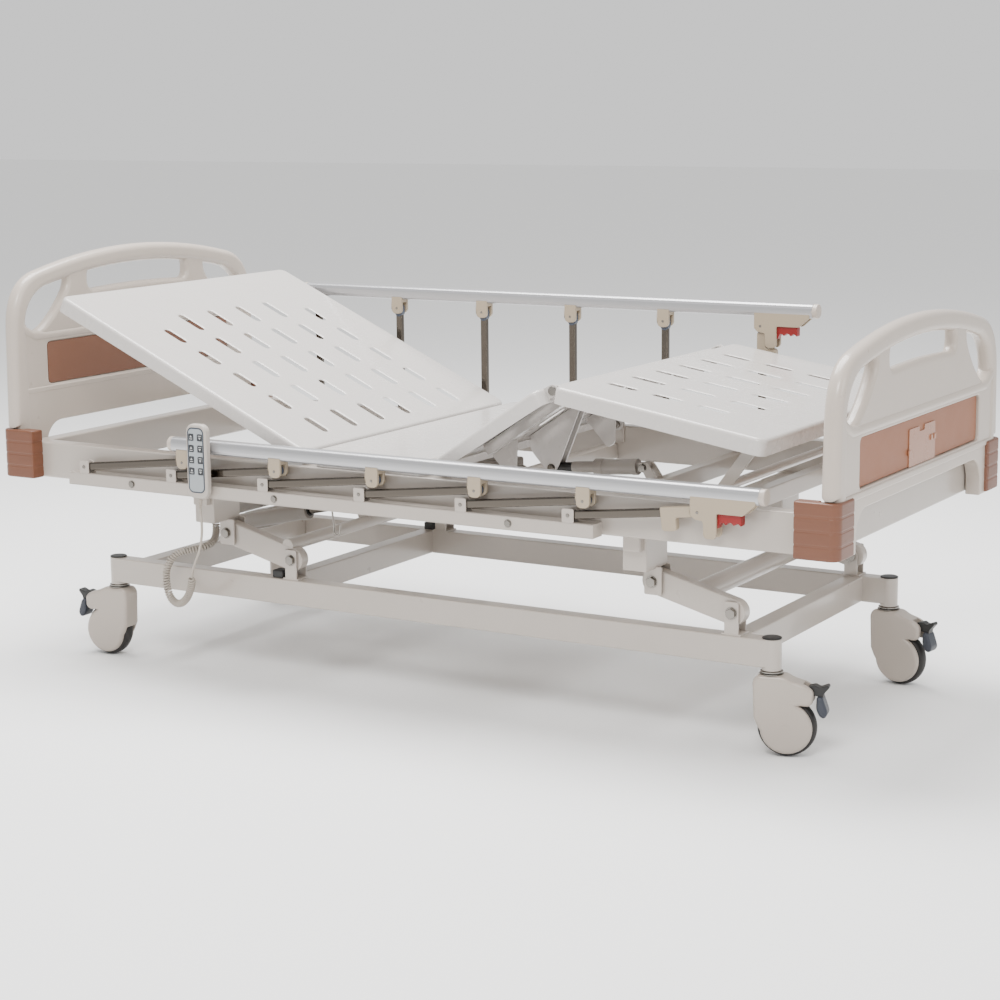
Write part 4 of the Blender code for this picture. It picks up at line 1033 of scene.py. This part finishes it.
def legs(arch_top, half, radius):
    """Lower edge of a board: the arch between its legs."""
    return [(-half, 0.451), *arc((radius - half, arch_top - radius), radius, 180, 90, 10),
        *arc((half - radius, arch_top - radius), radius, 90, 0, 10), (half, 0.451)]


def hand_holes(apex):
    """Middle hand hole and two ear holes, with soft corners."""
    inset = 0.036
    middle = [(y / 1000, crown(apex, y / 1000) - inset) for y in range(-195, 196, 65)]
    middle += below(apex, mm((195, 101), (100, 97), (0, 95), (-100, 97), (-195, 101)))
    holes = [round_corners(middle, 0.024, 7)]
    ear = [(0.268, crown(apex, 0.268) - inset), (0.34, crown(apex, 0.34) - inset),
        *shoulder_curve(apex, inset, 6)[::-1][1:], *below(apex, mm((432, 192), (402, 194),
        (360, 176), (322, 146), (290, 112), (270, 85)))]
    for side in SIDES:
        holes.append(round_corners([(side * y, z) for y, z in ear], 0.014))
    return holes


def build_board(name, side, apex, arch_top, inlay_material):
    """Moulded board: round rim, recessed panel, bead, inlay and lower ledge."""
    def depth(inner, outer):
        return tuple(sorted((side * inner, side * outer)))

    seat = mm((465, 451), (465, 572.2), (478, 573.5))
    outer = mirrored(seat + shoulder_curve(apex, 0.0), apex, 0.0)
    inner = mirrored([(0.419, 0.451)] + shoulder_curve(apex, 0.045), apex, 0.045)
    body = Shape()
    body.plate([outer + inner[::-1]], "X", depth(1.0398, 1.079), 0.0165, 7)

    ledge = apex - 0.3245
    lower = [(0.455, 0.4512), (0.455, ledge - 0.002), (-0.455, ledge - 0.002), (-0.455,
        0.4512)] + legs(arch_top, 0.372, 0.055)
    body.plate([lower], "X", depth(1.0412, 1.0765), 0.0035, 3)
    body.plate([rounded((-0.45, 0.45), (apex - 0.338, ledge), 0.004)], "X", depth(1.0405, 1.0795),
        0.003, 3)

    flare = below(apex, mm((436, 158), (424, 176), (402, 188.5), (360, 191.5)))
    border = [(0.436, ledge - 0.004)] + flare + [(-y, z) for y, z in reversed(flare)]
    border.append((-0.436, ledge - 0.004))
    window = rounded((-0.357, 0.357), (apex - 0.3205, apex - 0.2165), 0.012, 6)
    body.plate([border, window], "X", depth(1.043, 1.0758), 0.0038, 3)
    bead = below(apex, mm((452, 150), (430, 170), (404, 184.5), (360, 189.5)))
    bead += [(-y, z) for y, z in reversed(bead)]
    bead += below(apex, mm((-448, 190), (-400, 213), (400, 213), (448, 190)))
    body.plate([bead], "X", depth(1.0402, 1.0788), 0.0108, 6)

    panel = mirrored([(0.44, apex - 0.215)] + shoulder_curve(apex, 0.008), apex, 0.008)
    body.plate([panel, *hand_holes(apex)], "X", depth(1.0432, 1.0745), 0.0125, 6)
    body.box(depth(1.048, 1.06), (-0.372, 0.372), (apex - 0.335, apex - 0.2), 0.002)
    body.piece(f"{name}_moulding", UPPER, BOARD, name)

    inlay = Shape()
    outline = rounded((-0.3555, 0.3555), (apex - 0.319, apex - 0.218), 0.0105, 6)
    inlay.plate([outline], "X", depth(1.059, 1.0685), 0.0012)
    inlay.plate([outline], "X", depth(1.044, 1.0485), 0.0012)
    inlay.piece(f"{name}_inlay", UPPER, inlay_material)


def build_card_holder():
    holder = Shape()
    x = (1.0684, 1.0706)
    outline = round_corners(mm((-70, 580), (85, 580), (85, 661), (20, 661), (20, 650), (-10, 650),
        (-10, 661), (-70, 661)), 0.003)
    holder.plate([outline], "X", x, 0.0006)
    for y, z in mm((-71, 612), (79, 628), (60, 628)):
        holder.box((1.069, 1.0735), (y - 0.006, y + 0.006), (z - 0.006, z + 0.006), 0.0015)
    holder.piece("card_holder", UPPER, HOLDER_PAINTED_SHEEN)


def build_bumper(name, end, side):
    x_out, y_out, radius = 1.085, 0.4875, 0.022
    outline = [(x_out - 0.098, y_out - 0.035), (x_out - 0.098, y_out - 0.01), (x_out - 0.095,
        y_out - 0.002), (x_out - 0.088, y_out), *arc((x_out - radius, y_out - radius), radius, 90,
        0, 10), (x_out, y_out - 0.082), (x_out - 0.003, y_out - 0.088), (x_out - 0.0145,
        y_out - 0.09), (x_out - 0.0145, 0.4655), (1.035, 0.4655), (1.035, 0.4525)]
    outline = [(end * x, side * y) for x, y in outline]
    middle = Vector((end * 1.045, side * 0.46))
    core = [tuple(middle + (Vector(point) - middle) * 0.982) for point in outline]
    shell = Shape()
    bottom, top = 0.4545, 0.571
    bands = 4
    height = (top - bottom) / bands
    for band in range(bands):
        low = bottom + band * height
        shell.plate([outline], "Z", (low + 0.0004, low + height - 0.0004), 0.0038, 4)
    shell.plate([core], "Z", (bottom + 0.004, top - 0.004), 0.001)
    shell.piece(f"{name}_shell", UPPER, BUMPER, name)


# --- handset
def build_handset():
    low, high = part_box("handset")
    face = low[1]
    x, z = (low[0], high[0]), (low[2], high[2])
    keys = {}
    for number in range(1, 9):
        key_low, key_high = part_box(f"handset_key_{number}")
        keys[number] = ((key_low[0] + key_high[0]) / 2, (key_low[2] + key_high[2]) / 2)

    case, pockets = Shape(), Shape()
    for key_x, key_z in keys.values():
        pockets.box((key_x - 0.008, key_x + 0.008), (face - 0.003, face + 0.0033), (key_z - 0.0085,
            key_z + 0.0085), 0.0)
    case.plate([rounded(x, z, 0.019, 10)], "Y", (face, high[1]), 0.006, 6, cuts=[pockets])
    case.piece("handset_case", UPPER, HANDSET, "handset")

    holes = [rounded((kx - 0.008, kx + 0.008), (kz - 0.0085, kz + 0.0085), 0.003, 4) for kx,
        kz in keys.values()]
    Shape().plate([rounded((x[0] + 0.0058, x[1] - 0.0058), (z[0] + 0.014, z[1] - 0.0075), 0.0135,
        8), *holes], "Y", (face - 0.0003, face + 0.001), 0.0001, 1).piece("handset_outline", UPPER,
        OUTLINE)
    Shape().plate([rounded((x[0] + 0.0088, x[1] - 0.0088), (z[0] + 0.017, z[1] - 0.0105), 0.011,
        8), *holes], "Y", (face - 0.0006, face + 0.0008), 0.0002, 1).piece("handset_membrane",
        UPPER, MEMBRANE)
    for number, (kx, kz) in keys.items():
        body = f"handset_key_{number}"
        key_low, key_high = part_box(body)
        Shape().plate([rounded((key_low[0], key_high[0]), (key_low[2], key_high[2]), 0.0036, 5)],
            "Y", (key_low[1] - 0.0004, key_high[1]), 0.0009, 3).piece(f"{body}_cap", body, KEY,
            body)
        mark = Shape()
        up = 1 if number % 2 else -1
        front = key_low[1] - 0.0004
        mark.plate([[(kx - 0.0032, kz - 0.0004 * up), (kx, kz + 0.0046 * up), (kx + 0.0032,
            kz - 0.0004 * up)]], "Y", (front - 0.0002, front + 0.0004), 0.0001, 0)
        mark.box((kx - 0.0042, kx + 0.0042), (front - 0.0002, front + 0.0004),
            (kz - 0.004 * up - 0.0008, kz - 0.004 * up + 0.0008), 0.0002)
        mark.piece(f"{body}_mark", body, ICON)


# --- stage
def area_light(name, place, target, size, power, tone=(1.0, 1.0, 1.0)):
    data = bpy.data.lights.new(name, "AREA")
    data.shape = "RECTANGLE"
    data.size, data.size_y = size
    data.energy = power
    data.color = tone
    light = linked(name, data)
    light.location = place
    light.rotation_euler = (Vector(target) - Vector(place)).to_track_quat("-Z", "Y").to_euler()


def build_stage():
    mesh = bpy.data.meshes.new("floor")
    bm = bmesh.new()
    bmesh.ops.create_grid(bm, x_segments=1, y_segments=1, size=30.0)
    bm.to_mesh(mesh)
    bm.free()
    floor = linked("floor", mesh)
    floor.location.z = -0.0005
    floor.data.materials.append(surface("floor_paper", (0.92, 0.92, 0.915), 0.75, 60, 0.01, 0.004,
        specular=0.2))
    world = bpy.data.worlds.new("studio")
    world.use_nodes = True
    world.node_tree.nodes["Background"].inputs["Color"].default_value = (1.0, 1.0, 1.0, 1.0)
    world.node_tree.nodes["Background"].inputs["Strength"].default_value = 0.98
    bpy.context.scene.world = world
    area_light("key", (1.6, -4.2, 4.4), (0.2, 0, 0.4), (2.2, 1.6), 230, (1.0, 0.985, 0.965))
    area_light("side", (4.6, -0.8, 2.6), (0.6, 0, 0.5), (2.0, 1.6), 45)
    area_light("top", (-0.9, 0.5, 4.4), (-0.2, 0, 0.5), (3.4, 2.5), 470)


build_base()
build_casters()
build_lift_arms()
build_actuator("hilo", 0.02, 0.01, 0.235, 0.11, 1)
build_actuator("back", 0.018, 0.009, 0.228, 0.085, -1)
build_actuator("knee", 0.018, 0.009, 0.13, 0.06, 0, 0.0135)
build_upper_frame()
build_deck()
build_side_rail("right", -1, 6.4)
build_side_rail("left", 1, 90.0)
build_board("headboard", -1, 0.988, 0.575, INLAY_HEAD)
build_board("footboard", 1, 0.9, 0.539, INLAY_FOOT)
build_card_holder()
for end_name, end_sign in (("head", -1), ("foot", 1)):
    for side_name, side_sign in (("right", -1), ("left", 1)):
        build_bumper(f"bumper_{end_name}_{side_name}", end_sign, side_sign)
build_handset()
build_stage()
